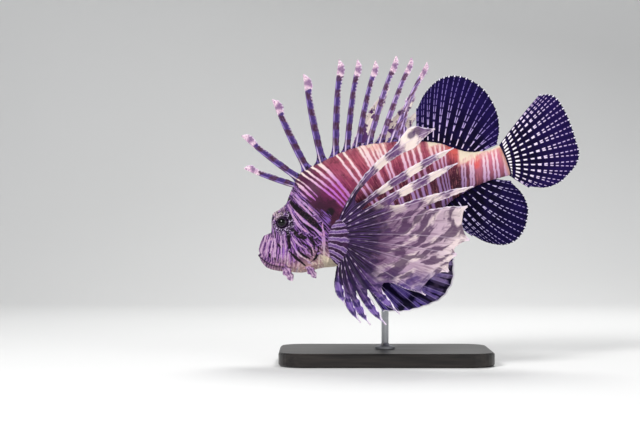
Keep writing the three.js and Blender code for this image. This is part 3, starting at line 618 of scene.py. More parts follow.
def skin_finish():
    material, shade, surface = finish("body_skin", Coat_Weight=0.05, Coat_Roughness=0.3)
    mark = {name: shade.mark(name) for name in skin_marks}
    share, s, h = mark["back_share"], mark["behind_snout"], mark["above_axis"]

    def around(s0, h0, wide, high):
        """1 at a place of the body, 0 at the edge of an oval round it, and below 0 beyond."""
        return 1 - ((s - s0) / wide) ** 2 - ((h - h0) / high) ** 2

    def drawn_out(across, lines, along, detail):
        """Noise in long streaks: swells to a millimetre across them, and along them."""
        where = shade.node("ShaderNodeCombineXYZ", {}, {0: across * lines, 1: h * along, 2: 0.0})
        return noise(shade, 1.0, detail, where)

    fray = (noise(shade, 420, 3) - 0.5) * 1.2
    mottle = noise(shade, 260, 4)
    speck = noise(shade, 800, 3)
    grain = drawn_out(mark["level"], 0.62, 0.09, 4)
    streak = drawn_out(mark["flow"], 0.95, 0.1, 3)

    flushed = s.within(104, 84) * share.within(0.35, 0.6) * share.within(0.98, 0.8)
    rosy = s.within(186, 194) * s.within(214, 204) * share.within(0.5, 0.9)
    front = share.ramp([(0, (34, 14, 32)), (0.6, (58, 18, 50)), (0.85, (86, 28, 66)), (1, (84, 38, 70))])
    halo = share.ramp([
        (0, (98, 62, 96)), (0.4, (140, 78, 112)), (0.75, (206, 120, 140)), (1, (236, 176, 170)),
    ])
    bars = layered(
        share.ramp([
            (0.0, (54, 28, 44)), (0.3, (68, 30, 48)), (0.5, (94, 38, 62)), (0.7, (138, 54, 84)),
            (0.88, (168, 78, 98)), (1.0, (146, 70, 90)),
        ]),
        (flushed * 0.65, (118, 22, 88)),
        (s.within(84, 68), front),
        (rosy * 0.8, (232, 104, 88)),
        (s.within(198, 210) * share.within(-0.2, 0.7), (216, 122, 146)),
        (around(210, 11, 6, 8).inside(0.8) * 0.75, (236, 96, 84)),
        (grain.within(0.53, 0.68) * s.within(212, 192) * 0.7, (66, 24, 42)),
        (grain.within(0.47, 0.34) * s.within(74, 116) * 0.45, (222, 128, 140)),
        (mottle.within(0.55, 0.72) * s.within(220, 192) * 0.6, (48, 20, 34)),
        (speck.within(0.6, 0.7) * share.within(1.1, 0.6) * s.within(60, 120) * 0.45, (186, 104, 112)),
        ((mark["pale"] + 0.9 + fray).inside(1.6) * s.within(96, 112) * 0.5, halo),
    )
    stripes = layered(
        share.ramp([
            (0.0, (150, 116, 172)), (0.32, (172, 134, 190)), (0.58, (206, 152, 196)),
            (0.8, (238, 200, 214)), (1.0, (252, 230, 220)),
        ]),
        (s.within(106, 90) * share.within(0.97, 0.72) * 0.9, (182, 92, 190)),
        (s.within(190, 204) * 0.8, share.within(0.1, 0.7).blend((214, 168, 208), (252, 220, 226))),
    )
    # the cream patches of the back; the last, on top of the tail root, is painted light from above
    ragged = mark["cream"] + (grain - 0.53) * 13 + fray
    trunk = layered(
        bars,
        ((mark["pale"] + fray * 0.6 + (grain - 0.5) * 1.1).inside(0.6), stripes),
        ((ragged + 1.4).inside(3.2), (236, 170, 164)),
        ((ragged - 0.6).inside(1.8), (248, 228, 206)),
        (s.within(233, 236) * 0.8, (204, 146, 124)),
    )

    lower, chin = h.within(-9, -25), h.within(-17, -27)
    lights = (s / 70).ramp([
        (0.1, (186, 140, 184)), (0.4, (160, 108, 176)), (0.7, (150, 102, 170)), (1, (144, 96, 162)),
    ])
    shades = (s / 70).ramp([(0.1, (72, 28, 96)), (0.4, (50, 18, 76)), (0.7, (22, 6, 34)), (1, (18, 4, 28))])
    # The lower head is pale cream and the chin paler still: partly its own colour, partly painted light on
    # an underside that lies in shade.
    lights = (lower * 0.9).blend(lights, chin.blend((238, 190, 190), (255, 234, 212)))
    shades = (lower * 0.85).blend(shades, chin.blend((156, 104, 134), (226, 180, 178)))
    hair = (mark["flow"] * 0.36 + (mottle - 0.5) * 1.6 + (streak - 0.5) * 1.2).beats()
    strokes = layered(
        s.within(10, 60).blend((206, 170, 202), (192, 150, 204)),
        (mottle.within(0.45, 0.6) * s.within(34, 46) * 0.6, (214, 150, 190)),
        (speck.within(0.46, 0.36) * 0.5, (112, 70, 136)),
        (lower, (248, 226, 212)),
    )
    ink = speck.within(0.56, 0.68).blend((14, 5, 18), (76, 42, 62))
    socket = around(EYE["s"] + 1, EYE["h"] - 2.4, 8.4, 9) + (mottle - 0.5) * 2.4 + fray * 0.4
    brow = around(28.6, 27, 7.4, 4.4) + (mottle - 0.5) * 3
    scribble = streak.within(0.47, 0.53) * speck.within(0.36, 0.46)
    flecks = around(EYE["s"], EYE["h"], 10.5, 10.5).inside(0.8) * speck.within(0.55, 0.62)
    face = layered(
        (hair * 0.7 + (streak - 0.5) * 4.4 + 0.3).held().blend(shades, lights),
        (streak.within(0.54, 0.66) * s.within(2, 14) * 0.5, (132, 76, 196)),
        (mottle.within(0.54, 0.72) * s.within(34, 14) * 0.5, (226, 188, 204)),
        ((mark["pale"] + fray * 0.9).inside(0.55) * 0.9, strokes),
        ((mark["dark"] + fray * 0.8).inside(0.6), ink),
        (socket.inside(0.7) * 0.85, (18, 6, 24)),
        (brow.inside(0.5), scribble.blend((34, 14, 42), (236, 206, 216))),
        (flecks * 0.9, (222, 196, 236)),
    )

    # Painted shade behind the gill cover, above the pectoral base: a dark hollow and a near-black pit in it.
    hollow_shade = around(72, 15, 12, 10) + (mottle - 0.5) * 3 + fray * 0.4
    pit_shade = around(73.5, 13, 3.6, 3.4) + fray * 0.9
    tuft = around(66.5, 10.5, 6, 7).inside(0.5) * streak.within(0.46, 0.56)
    colour = layered(
        trunk,
        (mark["on_head"], face),
        ((mark["cream"] + fray).inside(1.6) * s.within(46, 54), (244, 226, 202)),
        # painted shade behind the gill cover
        (hollow_shade.inside(1.2) * 0.75, (52, 20, 40)),
        (pit_shade.inside(0.9) * 0.9, (14, 6, 16)),
        (tuft * 0.75, (134, 92, 178)),
        # painted shade in the line of the closed mouth
        (mark["mouth"], (30, 12, 22)),
    )
    sizes = {"Scale": 640.0, "Smoothness": 0.4}
    scales = shade.node("ShaderNodeTexVoronoi", {"feature": "SMOOTH_F1"}, sizes)
    folds = (streak + hair * 0.25) * mark["on_head"] * 1.6
    relief = (1 - scales) * 0.8 + noise(shade, 160, 5) * 0.9 + folds
    coated(shade, surface, colour, speck * 0.2 + 0.38, relief, depth=0.0005, strength=0.7)
    return material


def grid_piece(name, points, material, marks):
    """A closed piece from a grid of points, with its marks told on the same grid."""
    told = {mark: with_ends(values) for mark, values in marks.items()}
    return piece(name, with_ends(points), tube_faces(*points.shape[:2]), material, told)


hide = grid_piece("lionfish_skin", skin, skin_finish(), skin_marks)
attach(hide, "root")
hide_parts("head", "lower_jaw", "trunk", "tail_root")


# Head spines: short points of bone on the brow, nape, cheek and gill cover. They were cast with
# the skull, in a hard resin, and stand out through the skin.
HEAD_SPINES = [
    # distance behind the snout, height, length
    (25, 26, 2.6), (30, 28.6, 3), (35, 29.6, 3), (41, 34, 3.4), (46, 38.6, 3.4), (34, 7.5, 2.4),
    (40, 4.5, 2.8), (46, 2, 3.2), (51.5, -4, 4), (52, -11, 3.6), (49.5, -18, 3), (57.5, 15, 3.4),
    (60, 8, 3.4),
]
HEAD_SPINE = {"base": 1.0, "tip": 0.05, "set_in": 0.6, "rings": 7, "round": 10, "curve": 0.5}


def head_spines():
    points, faces, reach = [], [], []
    rings, round_it = HEAD_SPINE["rings"], HEAD_SPINE["round"]
    for side in (-1, 1):
        for s, h, length in HEAD_SPINES:
            leans = heading(0.78, 0.5 if h > 20 else 0.05, 0.5, side)
            root = place(s, h, side * (flank_at(s, h) - HEAD_SPINE["set_in"]))
            across = np.cross(leans, ACROSS)
            across /= np.linalg.norm(across)
            up = np.cross(leans, across)
            first = len(points)
            for j in range(rings):
                t = j / (rings - 1)
                middle = root + leans * (length + 0.5) * t + TAILWARD * HEAD_SPINE["curve"] * t * t
                size = HEAD_SPINE["base"] * (1 - t) ** 0.8 + HEAD_SPINE["tip"]
                for k in range(round_it):
                    a = 2 * math.pi * k / round_it
                    points.append(middle + size * (math.cos(a) * across + math.sin(a) * up))
                    reach.append(t)
            for j in range(rings - 1):
                for k in range(round_it):
                    a, b = first + j * round_it + k, first + j * round_it + (k + 1) % round_it
                    faces.append((a, a + round_it, b + round_it, b))
            faces.append(tuple(range(first, first + round_it)))
            faces.append(tuple(range(first + (rings - 1) * round_it, first + rings * round_it))[::-1])
    material, shade, surface = finish("bone_points", Coat_Weight=0.15, Coat_Roughness=0.25)
    colour = (shade.mark("reach") + (noise(shade, 700) - 0.5) * 0.6).held()
    colour = colour.blend((96, 56, 124), (186, 148, 196))
    coated(shade, surface, colour, noise(shade, 500) * 0.2 + 0.3, noise(shade, 1500), 0.0001, 0.4)
    return piece("head_spines", points, faces, material, {"reach": reach})


points_of_bone = head_spines()
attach(points_of_bone, "root")


# Eyes: glass balls with a painted iris behind a clear front. Each was set into its socket under
# the brow, and the lids close round it.
IRIS = {"pupil": 36, "bulge": 0.35, "bulge_wide": 0.55, "size": 0.985, "rays": 16, "rings": 40, "round": 64}
GAZE = (-0.2, 0.2, 0.95)
WORDS = {-1: "left", 1: "right"}


def eye(side, material):
    axis = heading(*GAZE, side)
    up = UPWARD - (UPWARD @ axis) * axis
    up /= np.linalg.norm(up)
    along = np.cross(axis, up)
    centre = place(EYE["s"], EYE["h"], side * EYE["out"])
    a = np.radians(np.linspace(2, 178, IRIS["rings"]))[:, None]
    b = np.linspace(0, 2 * math.pi, IRIS["round"], endpoint=False)[None, :]
    size = EYE["radius"] * IRIS["size"] + IRIS["bulge"] * bump(a, 0, IRIS["bulge_wide"]) * np.ones_like(b)
    parts = ((np.cos(a), axis), (np.sin(a) * np.cos(b), along), (np.sin(a) * np.sin(b), up))
    ball = centre + sum((size * part)[..., None] * direction for part, direction in parts)
    marks = {
        "from_pupil": np.degrees(a) * np.ones_like(b),
        "turned": np.ones_like(a) * np.cos(b * IRIS["rays"]) * 0.5 + 0.5,
    }
    made = grid_piece("eye_glass_" + WORDS[side], ball, material, marks)
    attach(made, "root")
    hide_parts("eye_" + WORDS[side])


def eye_finish():
    material, shade, surface = finish("eye_glass", Roughness=0.2, Coat_Weight=0.3, Coat_Roughness=0.03)
    away, rays = shade.mark("from_pupil"), shade.mark("turned")
    fleck = noise(shade, 1400, 3)
    pupil = IRIS["pupil"]
    ring = away.within(pupil, pupil + 1.5) * away.within(pupil + 4, pupil + 2)
    iris = layered(
        (fleck.within(0.35, 0.65) * 0.7 + rays * 0.3).blend((8, 3, 9), (42, 20, 44)),
        (away.within(48, 60) * 0.8, (36, 18, 52)),
        (ring * fleck.within(0.3, 0.6) * 0.5, (120, 90, 146)),
    )
    coated(shade, surface, away.within(pupil - 1.5, pupil).blend((3, 3, 4), iris))
    return material


glass = eye_finish()
for side in (-1, 1):
    eye(side, glass)


# Skin flaps: soft leaves with scalloped edges, over each eye, under the upper jaw and on the cheek.
# They were cast thin and glued into the skin by their roots.
FLAPS = [
    # name, root, heading, length, width, ends
    ("brow_tentacle", (32.5, 25), (0.15, 0.45, 1), 10, 2.8, 0.2),
    ("jaw_flap", (17, -17), (0.6, 0.3, -1), 17, 7.4, 0.22),
    ("cheek_flap", (37, -25), (0.7, 0.3, -0.95), 14, 6.6, 0.22),
]

FLAP = {"set_in": 1, "thick": 0.62, "thinner": 0.3, "vein": 0.35, "curl": 0.5, "rows": 41, "round": 28}


def flap_finish():
    material, shade, surface = finish("flap_skin", Coat_Weight=0.1)
    reach, veins = shade.mark("reach"), shade.mark("veins")
    blotch = noise(shade, 330, 3)
    colour = (blotch.within(0.42, 0.6) * 0.6 + veins * 0.4).blend((92, 54, 104), (198, 160, 192))
    colour = (reach.within(0.55, 1) * blotch.within(0.3, 0.6)).blend(colour, (222, 196, 214))
    coated(shade, surface, colour, blotch * 0.2 + 0.4, noise(shade, 900, 4))
    return material


def flap(told, side, material):
    name, (s, h), aim, length, width, lobes = told
    root = place(s, h, side * (flank_at(s, h) - FLAP["set_in"]))
    along = np.array([aim[0], side * aim[1], aim[2]], float)
    along /= np.linalg.norm(along)
    across = np.array([1, 0, 0.8])
    across = across - (across @ along) * along
    across /= np.linalg.norm(across)
    face = np.cross(along, across)
    t = np.linspace(0, 1, FLAP["rows"])[:, None]
    b = np.linspace(0, 2 * math.pi, FLAP["round"], endpoint=False)[None, :]
    swell = 0.35 + 0.65 * np.sin(math.pi * (0.12 + 0.8 * t))
    half = width / 2 * swell * (1 + lobes * np.cos(2 * math.pi * 2.5 * t)) * (1 - 0.55 * t**4)
    half = half * np.sqrt(np.clip(1 - ((t - 0.9) / 0.1) ** 2 * (t > 0.9), 0.01, 1))
    veins = np.cos(b * 7) * np.sin(math.pi * t)
    thick = (FLAP["thick"] - FLAP["thinner"] * t) * (1 + FLAP["vein"] * veins) * np.abs(np.sin(b)) ** 0.5
    lift = thick * np.sign(np.sin(b)) + FLAP["curl"] * np.sin(math.pi * t) * np.cos(b)
    points = root + length * t[..., None] * along
    points = points + (half * np.cos(b))[..., None] * across + lift[..., None] * face
    marks = {"reach": t * np.ones_like(b), "veins": veins}
    made = grid_piece(f"{name}_skin_{WORDS[side]}", points, material, marks)
    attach(made, "root")
    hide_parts(f"{name}_{WORDS[side]}")


leather = flap_finish()
for told in FLAPS:
    for side in (-1, 1):
        flap(told, side, leather)


# Spiny dorsal fin: twelve free spines of bone, each with a narrow banded skin behind it and a pale
# flag at its tip. Every spine was cast with its skin and set into the back.
FOOT_SHARE = 0.55  # half the width of a ray's ridge, as a share of its thickness
CLEAR_SHARE = 0.92  # share of the way to the next ray's middle that a free edge may fill
ROOT_DEPTH = 2.5
EDGE_TOLD = 6.0  # how far in from a free edge its distance is told, in millimetres


def bent_ray(root, length, rise, out=(0, 0), side=0):
    """The line of a ray that leaves its root at one heading and bends evenly to another."""
    fine = np.linspace(0, 1, 97)
    half_way = (fine[1:] + fine[:-1]) / 2
    up = np.radians(rise[0] + (rise[1] - rise[0]) * half_way)
    away = np.radians(out[0] + (out[1] - out[0]) * half_way)
    step = np.stack([np.cos(up) * np.cos(away), side * np.sin(away), np.sin(up) * np.cos(away)], 1)
    path = np.vstack([np.zeros(3), np.cumsum(step * length / 96, axis=0)]) + root
    return lambda t: np.stack([np.interp(t, fine, path[:, k]) for k in range(3)], -1)


def unit(vectors):
    return vectors / np.maximum(np.linalg.norm(vectors, axis=-1, keepdims=True), 1e-9)


def fin_skin(
    rays, webs, rows, columns, thin, drawn_in=0.0, fork=0.0, parts=0.5, sway=0.3, climb=0.07, pleat=0.0
):
    """Points and faces of a fin, with the measures of each point that its markings are drawn from.

    Each ray is a ridge in a thin skin, joined to its neighbours along each web's share of its length
    and free beyond it. The margin is drawn in between the rays, a fork parts a ray in two, and the
    skin may lie in pleats between the rays."""
    shares = np.linspace(0, 1, rows + 1)
    last = len(rays) - 1
    line = np.array([ray["at"](shares) for ray in rays])
    beyond = np.concatenate([2 * line[:1] - line[1:2], line, 2 * line[-1:] - line[-2:-1]])
    along = unit(np.gradient(line, axis=1))
    numbered = np.arange(last + 1)
    across = line[np.minimum(numbered + 1, last)] - line[np.maximum(numbered - 1, 0)]
    across = unit(across - along * (across * along).sum(-1, keepdims=True))
    normal = np.cross(along, across)
    lengths = np.array([ray["length"] for ray in rays])
    grade = np.linspace(0, 1, columns + 1) ** 1.2

    def between(gap, u):
        """A smooth curve from one ray to the next, at the same share of both."""
        return through(*beyond[gap : gap + 4], u)

    shape = (last + 1, rows + 1, 2 * columns + 1)
    points, normals = np.zeros((*shape, 3)), np.zeros((*shape, 3))
    told = {name: np.zeros(shape) for name in ("across", "width", "ahead", "behind")}
    half = np.zeros(shape)
    for i, ray in enumerate(rays):
        thick = ray["thick"](shares)
        edges = {}
        for sign, key in ((-1, "before"), (1, "behind")):
            n, free = i + sign, ray[key](shares)
            beside = 0 <= n <= last
            web, gap = (webs[min(i, n)], min(i, n)) if beside else (0, 0)
            if beside:
                free = np.minimum(free, np.linalg.norm(line[n] - line[i], axis=1) / 2 * CLEAR_SHARE)
            free = np.maximum(free, thick * FOOT_SHARE + 0.2)
            climbed = np.clip((shares - web) / climb, 0, 1) ** 0.5
            opened = np.sin(climbed * math.pi / 2) if web else np.ones(rows + 1)
            joined = np.linalg.norm(between(gap, 0.5) - line[i], axis=1)
            edges[sign] = (web, gap, free, opened, free * opened + joined * (1 - opened))
        for sign, (web, gap, free, opened, reach) in edges.items():
            draw = drawn_in * np.clip(shares / max(web, 0.01), 0, 1) ** 7 * (shares <= web + 1e-6)
            foot = np.minimum(thick * FOOT_SHARE, reach * 0.7)
            branch = fork * reach * np.clip((shares - parts) / (1 - parts), 0, 1) ** 0.6
            mate = i + sign if web else i
            other = edges[-sign]
            for k, c in enumerate(grade):
                column = columns + sign * k
                toward = (c * (1 - opened) * 0.5)[:, None]
                facing = unit(normal[i] * (1 - toward) + normal[mate] * toward)
                backward = unit(along[i] * (1 - toward) + along[mate] * toward)
                spot = line[i] + (sign * c * free)[:, None] * across[i]
                if web:
                    u = c / 2 if sign > 0 else 1 - c / 2
                    spot = opened[:, None] * spot + (1 - opened[:, None]) * between(gap, u)
                x = c * reach
                wave = np.sin(2 * math.pi * (2.1 * shares + 0.37 * gap)) * np.minimum(reach / 3, 1)
                sunk = reach * math.sin(c * math.pi / 2) ** 2 * np.minimum(shares * 5, 1)
                fold = sway * c * wave * shares - pleat * sunk
                clear = np.minimum(np.abs(x - branch) / (0.55 * reach), 1) ** 0.7
                points[i, :, column] = spot + facing * fold[:, None] - backward * (draw * clear)[:, None]
                normals[i, :, column] = facing
                ridge = np.sqrt(np.clip(1 - ((x - branch) / foot) ** 2, 0, 1))
                web_half = thin / 2 * (1 - 0.5 * c**3 * opened)
                half[i, :, column] = web_half + np.maximum(thick - thin, 0) / 2 * ridge
                told["across"][i, :, column] = i + sign * c / 2
                told["width"][i, :, column] = reach
                near_edge = reach - x + (1 - opened) * EDGE_TOLD
                far_edge = x + other[4] + (1 - other[3]) * EDGE_TOLD
                told["ahead" if sign < 0 else "behind"][i, :, column] = np.minimum(near_edge, EDGE_TOLD)
                told["behind" if sign < 0 else "ahead"][i, :, column] = np.minimum(far_edge, EDGE_TOLD)
    numbers = np.arange(np.prod(shape)).reshape(shape)
    for gap, web in enumerate(webs):
        joined = shares <= web + 1e-6
        numbers[gap + 1, joined, 0] = numbers[gap, joined, -1]
    corners = [numbers[:, :-1, :-1], numbers[:, :-1, 1:], numbers[:, 1:, 1:], numbers[:, 1:, :-1]]
    quads = np.stack(corners, -1).reshape(-1, 4)
    total = numbers.size
    starts, ends = quads.ravel(), np.roll(quads, -1, axis=1).ravel()
    open_edge = ~np.isin(starts * total + ends, ends * total + starts)
    a, b = starts[open_edge], ends[open_edge]
    walls = np.stack([b, a, a + total, b + total], 1)
    faces = np.concatenate([quads, quads[:, ::-1] + total, walls])
    used, faces = np.unique(faces, return_inverse=True)
    faces = faces.reshape(-1, 4)
    both = np.concatenate([points + normals * half[..., None], points - normals * half[..., None]])
    both = both.reshape(-1, 3)[used]
    corner = both[faces]
    volume = sum(
        np.einsum("ij,ij->", corner[:, 0], np.cross(corner[:, k], corner[:, k + 1])) for k in (1, 2)
    )
    if volume < 0:
        faces = faces[:, ::-1]
    told["share"] = np.broadcast_to(shares[None, :, None], shape)
    whole = np.interp(told["across"], numbered, lengths)
    told["mm"], told["tip"] = told["share"] * whole, (1 - told["share"]) * whole
    return both, faces, {name: np.tile(value.ravel(), 2)[used] for name, value in told.items()}


def ray_place(shade):
    """The number of the ray that a point of a fin is nearest to, and how far behind its line it is."""
    across = shade.mark("across")
    number = across.whole()
    return number, (across - number) * 2 * shade.mark("width")


def fin_noise(shade, along, aside=1.0, slant=0.0, detail=2, seed=0.0):
    """Noise drawn out along the rays: millimetres of a ray and rays to a swell."""
    number = shade.mark("across") * aside + shade.mark("mm") * slant + seed
    where = shade.node("ShaderNodeCombineXYZ", {}, {0: number, 1: shade.mark("mm") / along, 2: seed})
    return noise(shade, 1.0, detail, where)


def tapered(root, tip):
    return lambda t: root + (tip - root) * t


def wander(value, seed):
    """A smooth wander of about -1 to 1 along a length in millimetres, the same on every run."""
    slow, quick = np.sin(value * 0.31 + seed * 1.7), np.sin(value * 0.83 + seed * 4.1)
    return (slow + quick + 0.6 * np.sin(value * 1.9 + seed)) / 2.2


SPINE_LENGTHS = [46, 62, 70, 81, 87, 83, 80, 84, 82, 79, 42, 26]
SPINE_RISE = [160, 142, 115, 101, 87, 82.5, 77.5, 72, 69.5, 65.5, 76, 92]
SPINE_SKIN = [4.2, 4.6, 5.2, 5.2, 4.8, 4.2, 3.9, 3.9, 3.7, 3.4, 2.6, 2.2]
SPINE_BEND = 5
FLAG_SHARE = 0.5
SPINE_WEBS = [0.035] * 9 + [0.2] * 2
SPINE_BAND = 14.5


def dorsal_spine(i):
    length = SPINE_LENGTHS[i] + ROOT_DEPTH
    wide = SPINE_SKIN[i]
    root = place(SPINE_ROOTS[i], back(SPINE_ROOTS[i]) - ROOT_DEPTH)

    def behind(t):
        mm = t * length
        leaf = FLAG_SHARE * bump(t, 0.885, 0.085) - 0.66 * bump(t, 1.0, 0.028)
        skin_wide = wide * (0.7 + 0.28 * np.sin(math.pi * t) + leaf) + 1.2 * (1 - t) ** 3
        frill = 0.3 * wander(mm * 1.3, i + 3) + 0.22 * np.sin(mm * 1.9 + i) * eased((t - 0.62) / 0.15)
        return skin_wide + frill * eased(t * 6)

    return {
        "at": bent_ray(root, length, (SPINE_RISE[i] + SPINE_BEND, SPINE_RISE[i] - SPINE_BEND)),
        "length": length, "thick": tapered(2.2, 0.9),
        "before": lambda t: 0.85 - 0.25 * t + 0.08 * wander(t * length, i), "behind": behind,
    }


def spine_finish():
    material, shade, surface = finish("spine_skin", Coat_Weight=0.05, Coat_Roughness=0.3)
    number, aside = ray_place(shade)
    share, mm, tip, width = (shade.mark(name) for name in ("share", "mm", "tip", "width"))
    soft, mottle = noise(shade, 420, 3), noise(shade, 700, 2)
    streak = fin_noise(shade, 5.0, 7.0, 0.0, 3)
    rear = number.within(5.5, 8.5)
    beat = (mm / SPINE_BAND + number * 0.37 + (soft - 0.5) * 0.22).beats()
    band = (beat + 0.15).inside(0.5)
    banded = rear.blend(band.blend((66, 36, 60), (74, 52, 112)), band.blend((88, 54, 80), (140, 110, 164)))
    core = ((aside - width * 0.45).size() * -1 + 1.1 + (mottle - 0.5) * 2).inside(0.6)
    low = (0.1 - share + (soft - 0.5) * 0.05).inside(0.06)
    skin_colour = layered(
        banded,
        (streak.within(0.5, 0.7) * 0.6, rear.blend((112, 84, 140), (182, 154, 192))),
        ((beat - 0.35).inside(0.5) * core * 0.6, (44, 28, 92)),
        (streak.within(0.46, 0.3) * 0.35, (34, 20, 58)),
        (low, soft.within(0.42, 0.6).blend((30, 18, 44), (104, 82, 150))),
    )
    dashes = (beat + (soft - 0.5) * 1.2).inside(1.2)
    rod = dashes.blend((90, 62, 104), rear.blend((142, 120, 184), (196, 170, 216)))
    rod = (share.within(0.22, 0.08) * 0.7).blend(rod, (226, 206, 222))
    on_rod = (0.62 - (aside + 0.2).size() - share * 0.2).inside(0.5)
    spot = 2.0 - (tip - 8.5).size() + (mottle - 0.5) * 9 + (aside - 1.5) * 0.6
    flag_colour = mottle.within(0.38, 0.62).blend((176, 136, 170), (240, 216, 222))
    flag_colour = (spot.inside(2) * 0.8).blend(flag_colour, (98, 60, 112))
    on_flag = (14.5 - tip + (soft - 0.5) * 4).inside(1.6) * (1 - number.within(9.5, 10.5))
    rim = (0.7 - shade.mark("behind") + (mm / 3.1).beats() * 0.45 + (mottle - 0.5)).inside(0.4)
    colour = layered(
        skin_colour, (on_rod * 0.9, rod), (on_flag, flag_colour),
        (rim * share.within(0.3, 0.8) * 0.7, (232, 216, 234)),
    )
    coated(shade, surface, colour, soft * 0.2 + 0.38, soft * 0.6 + streak * 0.6)
    return material


def spiny_dorsal():
    rays = [dorsal_spine(i) for i in range(len(SPINE_ROOTS))]
    points, faces, told = fin_skin(rays, SPINE_WEBS, 150, 9, 0.34, drawn_in=1.2, sway=0.5, climb=0.13)
    return piece("dorsal_spines_skin", points, faces, spine_finish(), told)


spines = spiny_dorsal()
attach(spines, "root")
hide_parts("dorsal_spines")


# Soft dorsal, tail and anal fins: rounded fans of forked rays in a dark skin, each ray marked with
# pale dashes and a pale dot at the margin. They were cast thin and set into the body's middle.
FORK = 0.5
FANS = {
    "soft_dorsal_fin": {
        "roots": [(s, back(s) - ROOT_DEPTH) for s in SOFT_ROOTS],
        "lengths": [30, 41, 49, 56, 60.5, 63, 63, 60, 53.5, 44, 32, 20],
        "rises": [91, 90, 88.5, 86, 83, 78.5, 73.5, 67, 60, 51, 40, 27],
        "bend": lambda i: 1.5 + i * 0.4,
        "parts": 0.24, "dash": 9.5, "on": 0.62, "line": 0.46, "finer": 0, "start": 3.5, "step": 0.31,
        "webs": [(0, (6, 3, 20)), (0.4, (10, 4, 36)), (0.8, (22, 10, 64)), (1, (16, 7, 52))],
        "pale": [
            (0, (240, 218, 240)), (0.3, (186, 164, 216)), (0.65, (134, 114, 184)), (1, (122, 106, 174)),
        ],
    },
    "tail_fin": {
        "roots": [(BODY_LENGTH - ROOT_DEPTH, h) for h in np.linspace(13.4, -10.8, 13)],
        "lengths": [59, 65, 68.5, 68.5, 67.5, 66.5, 66, 66.5, 63, 55.5, 47.5, 36, 21],
        "rises": [51.5, 49, 45, 38.5, 31, 23.3, 15.5, 8.2, 1, -6, -14, -23, -32],
        "bend": lambda i: (6 - i) * 0.5,
        "parts": 0.42, "dash": 8.2, "on": 0.12, "line": 0.72, "finer": 0.01, "start": 4.2, "step": 0.06,
        "webs": [(0, (8, 3, 22)), (0.4, (12, 5, 36)), (0.8, (28, 14, 70)), (1, (24, 12, 62))],
        "pale": [
            (0, (255, 248, 252)), (0.5, (232, 214, 240)), (0.8, (196, 172, 216)), (1, (178, 152, 204)),
        ],
    },
    "anal_fin": {
        "roots": [(s, belly(s) + ROOT_DEPTH) for s in ANAL_ROOTS],
        "lengths": [37, 46.5, 55, 62, 65.5, 63.5, 57.5, 49, 36, 20],
        "rises": [-38, -43, -44.5, -43.5, -39.5, -34.5, -28.5, -22.5, -16, -8],
        "bend": lambda i: -2 - 11 * math.sin(math.pi * i / 9) ** 0.8,
        "parts": 0.3, "dash": 7.6, "on": 0.2, "line": 0.72, "finer": -0.045, "start": 6, "step": 0.27,
        "webs": [(0, (6, 3, 20)), (0.45, (9, 4, 32)), (0.85, (18, 9, 56)), (1, (14, 7, 46))],
        "pale": [
            (0, (214, 200, 234)), (0.5, (200, 186, 228)), (0.85, (176, 160, 212)), (1, (160, 140, 198)),
        ],
    },
}
FREE_EDGE = 1.2


def fan_ray(line, length, thick):
    """A ray whose skin reaches its neighbours' all the way up, from its thickness at root and tip."""
    edge = tapered(FREE_EDGE, FREE_EDGE)
    return {"at": line, "length": length, "before": edge, "behind": edge, "thick": tapered(*thick)}


def from_branch(shade, parts):
    """How far a point is from the nearer branch of its ray, in millimetres."""
    opened = shade.mark("share").within(parts, 1) ** 0.6 * FORK * shade.mark("width")
    return (ray_place(shade)[1].size() - opened).size()


def fan_finish(name, fan):
    material, shade, surface = finish(name + "_skin", Specular_IOR_Level=0.06)
    number, share, mm = shade.mark("across").whole(), shade.mark("share"), shade.mark("mm")
    cloud, fine = noise(shade, 90, 3), noise(shade, 900, 2)
    off = from_branch(shade, fan["parts"])
    web = layered(
        share.ramp(fan["webs"]),
        (cloud.within(0.45, 0.8) * 0.6, (32, 17, 78)),
        # a painted sheen: a faint violet line along each ray
        ((0.8 - off).inside(0.8) * 0.35, (40, 26, 90)),
        (fin_noise(shade, 30, 5, 0, 2).within(0.45, 0.7) * 0.5, (7, 4, 22)),
    )
    beat = (mm / ((1 - share * 0.33) * fan["dash"]) + number * fan["step"]).beats()
    patchy = fin_noise(shade, 13, 1.6, 0.0, 1, 3.0)
    dash = (beat + fan["on"] + (patchy - 0.5) * 1.1).inside(0.45)
    line = (share * -0.5 + 1) * (number * fan["finer"] + fan["line"])
    dash = dash * (line - off + (fine - 0.5) * 0.25).inside(0.25) * (mm - fan["start"]).inside(0.8)
    dot = (share - 0.972).inside(0.006) * (0.55 - off).inside(0.3)
    colour = layered(
        web, (dash * share.within(0.965, 0.94), share.ramp(fan["pale"])), (dot, (232, 226, 240))
    )
    coated(shade, surface, colour, cloud * 0.2 + 0.38, fine, 0.0001, 0.4)
    return material


for name, fan in FANS.items():
    rays = []
    for i, ((s, h), length, rise) in enumerate(zip(fan["roots"], fan["lengths"], fan["rises"])):
        length, bend = length + ROOT_DEPTH, fan["bend"](i)
        line = bent_ray(place(s, h), length, (rise + bend, rise - bend))
        rays.append(fan_ray(line, length, (1.6, 0.55)))
    points, faces, told = fin_skin(
        rays, [1] * (len(rays) - 1), 90, 10, 0.3, drawn_in=1.3, fork=FORK, parts=fan["parts"], sway=0.25
    )
    fin = piece(name + "_skin", points, faces, fan_finish(name, fan), told)
    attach(fin, "root")
    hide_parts(name)


# Pelvic fins: a stout spine and five forked rays on each side, below the chest, in the same dark
# skin as the fans but with broad violet patches and a pale margin.
PELVIC_LENGTHS = [60, 70.5, 78.5, 86.5, 87, 81]
PELVIC_RISE = [-60, -49, -39, -29, -18, -6]
PELVIC_ROOT = {"s": 78, "step": 3, "inset": 2.6, "out": 8.5}
PELVIC_BAND = 25
PELVIC_PARTS = 0.4


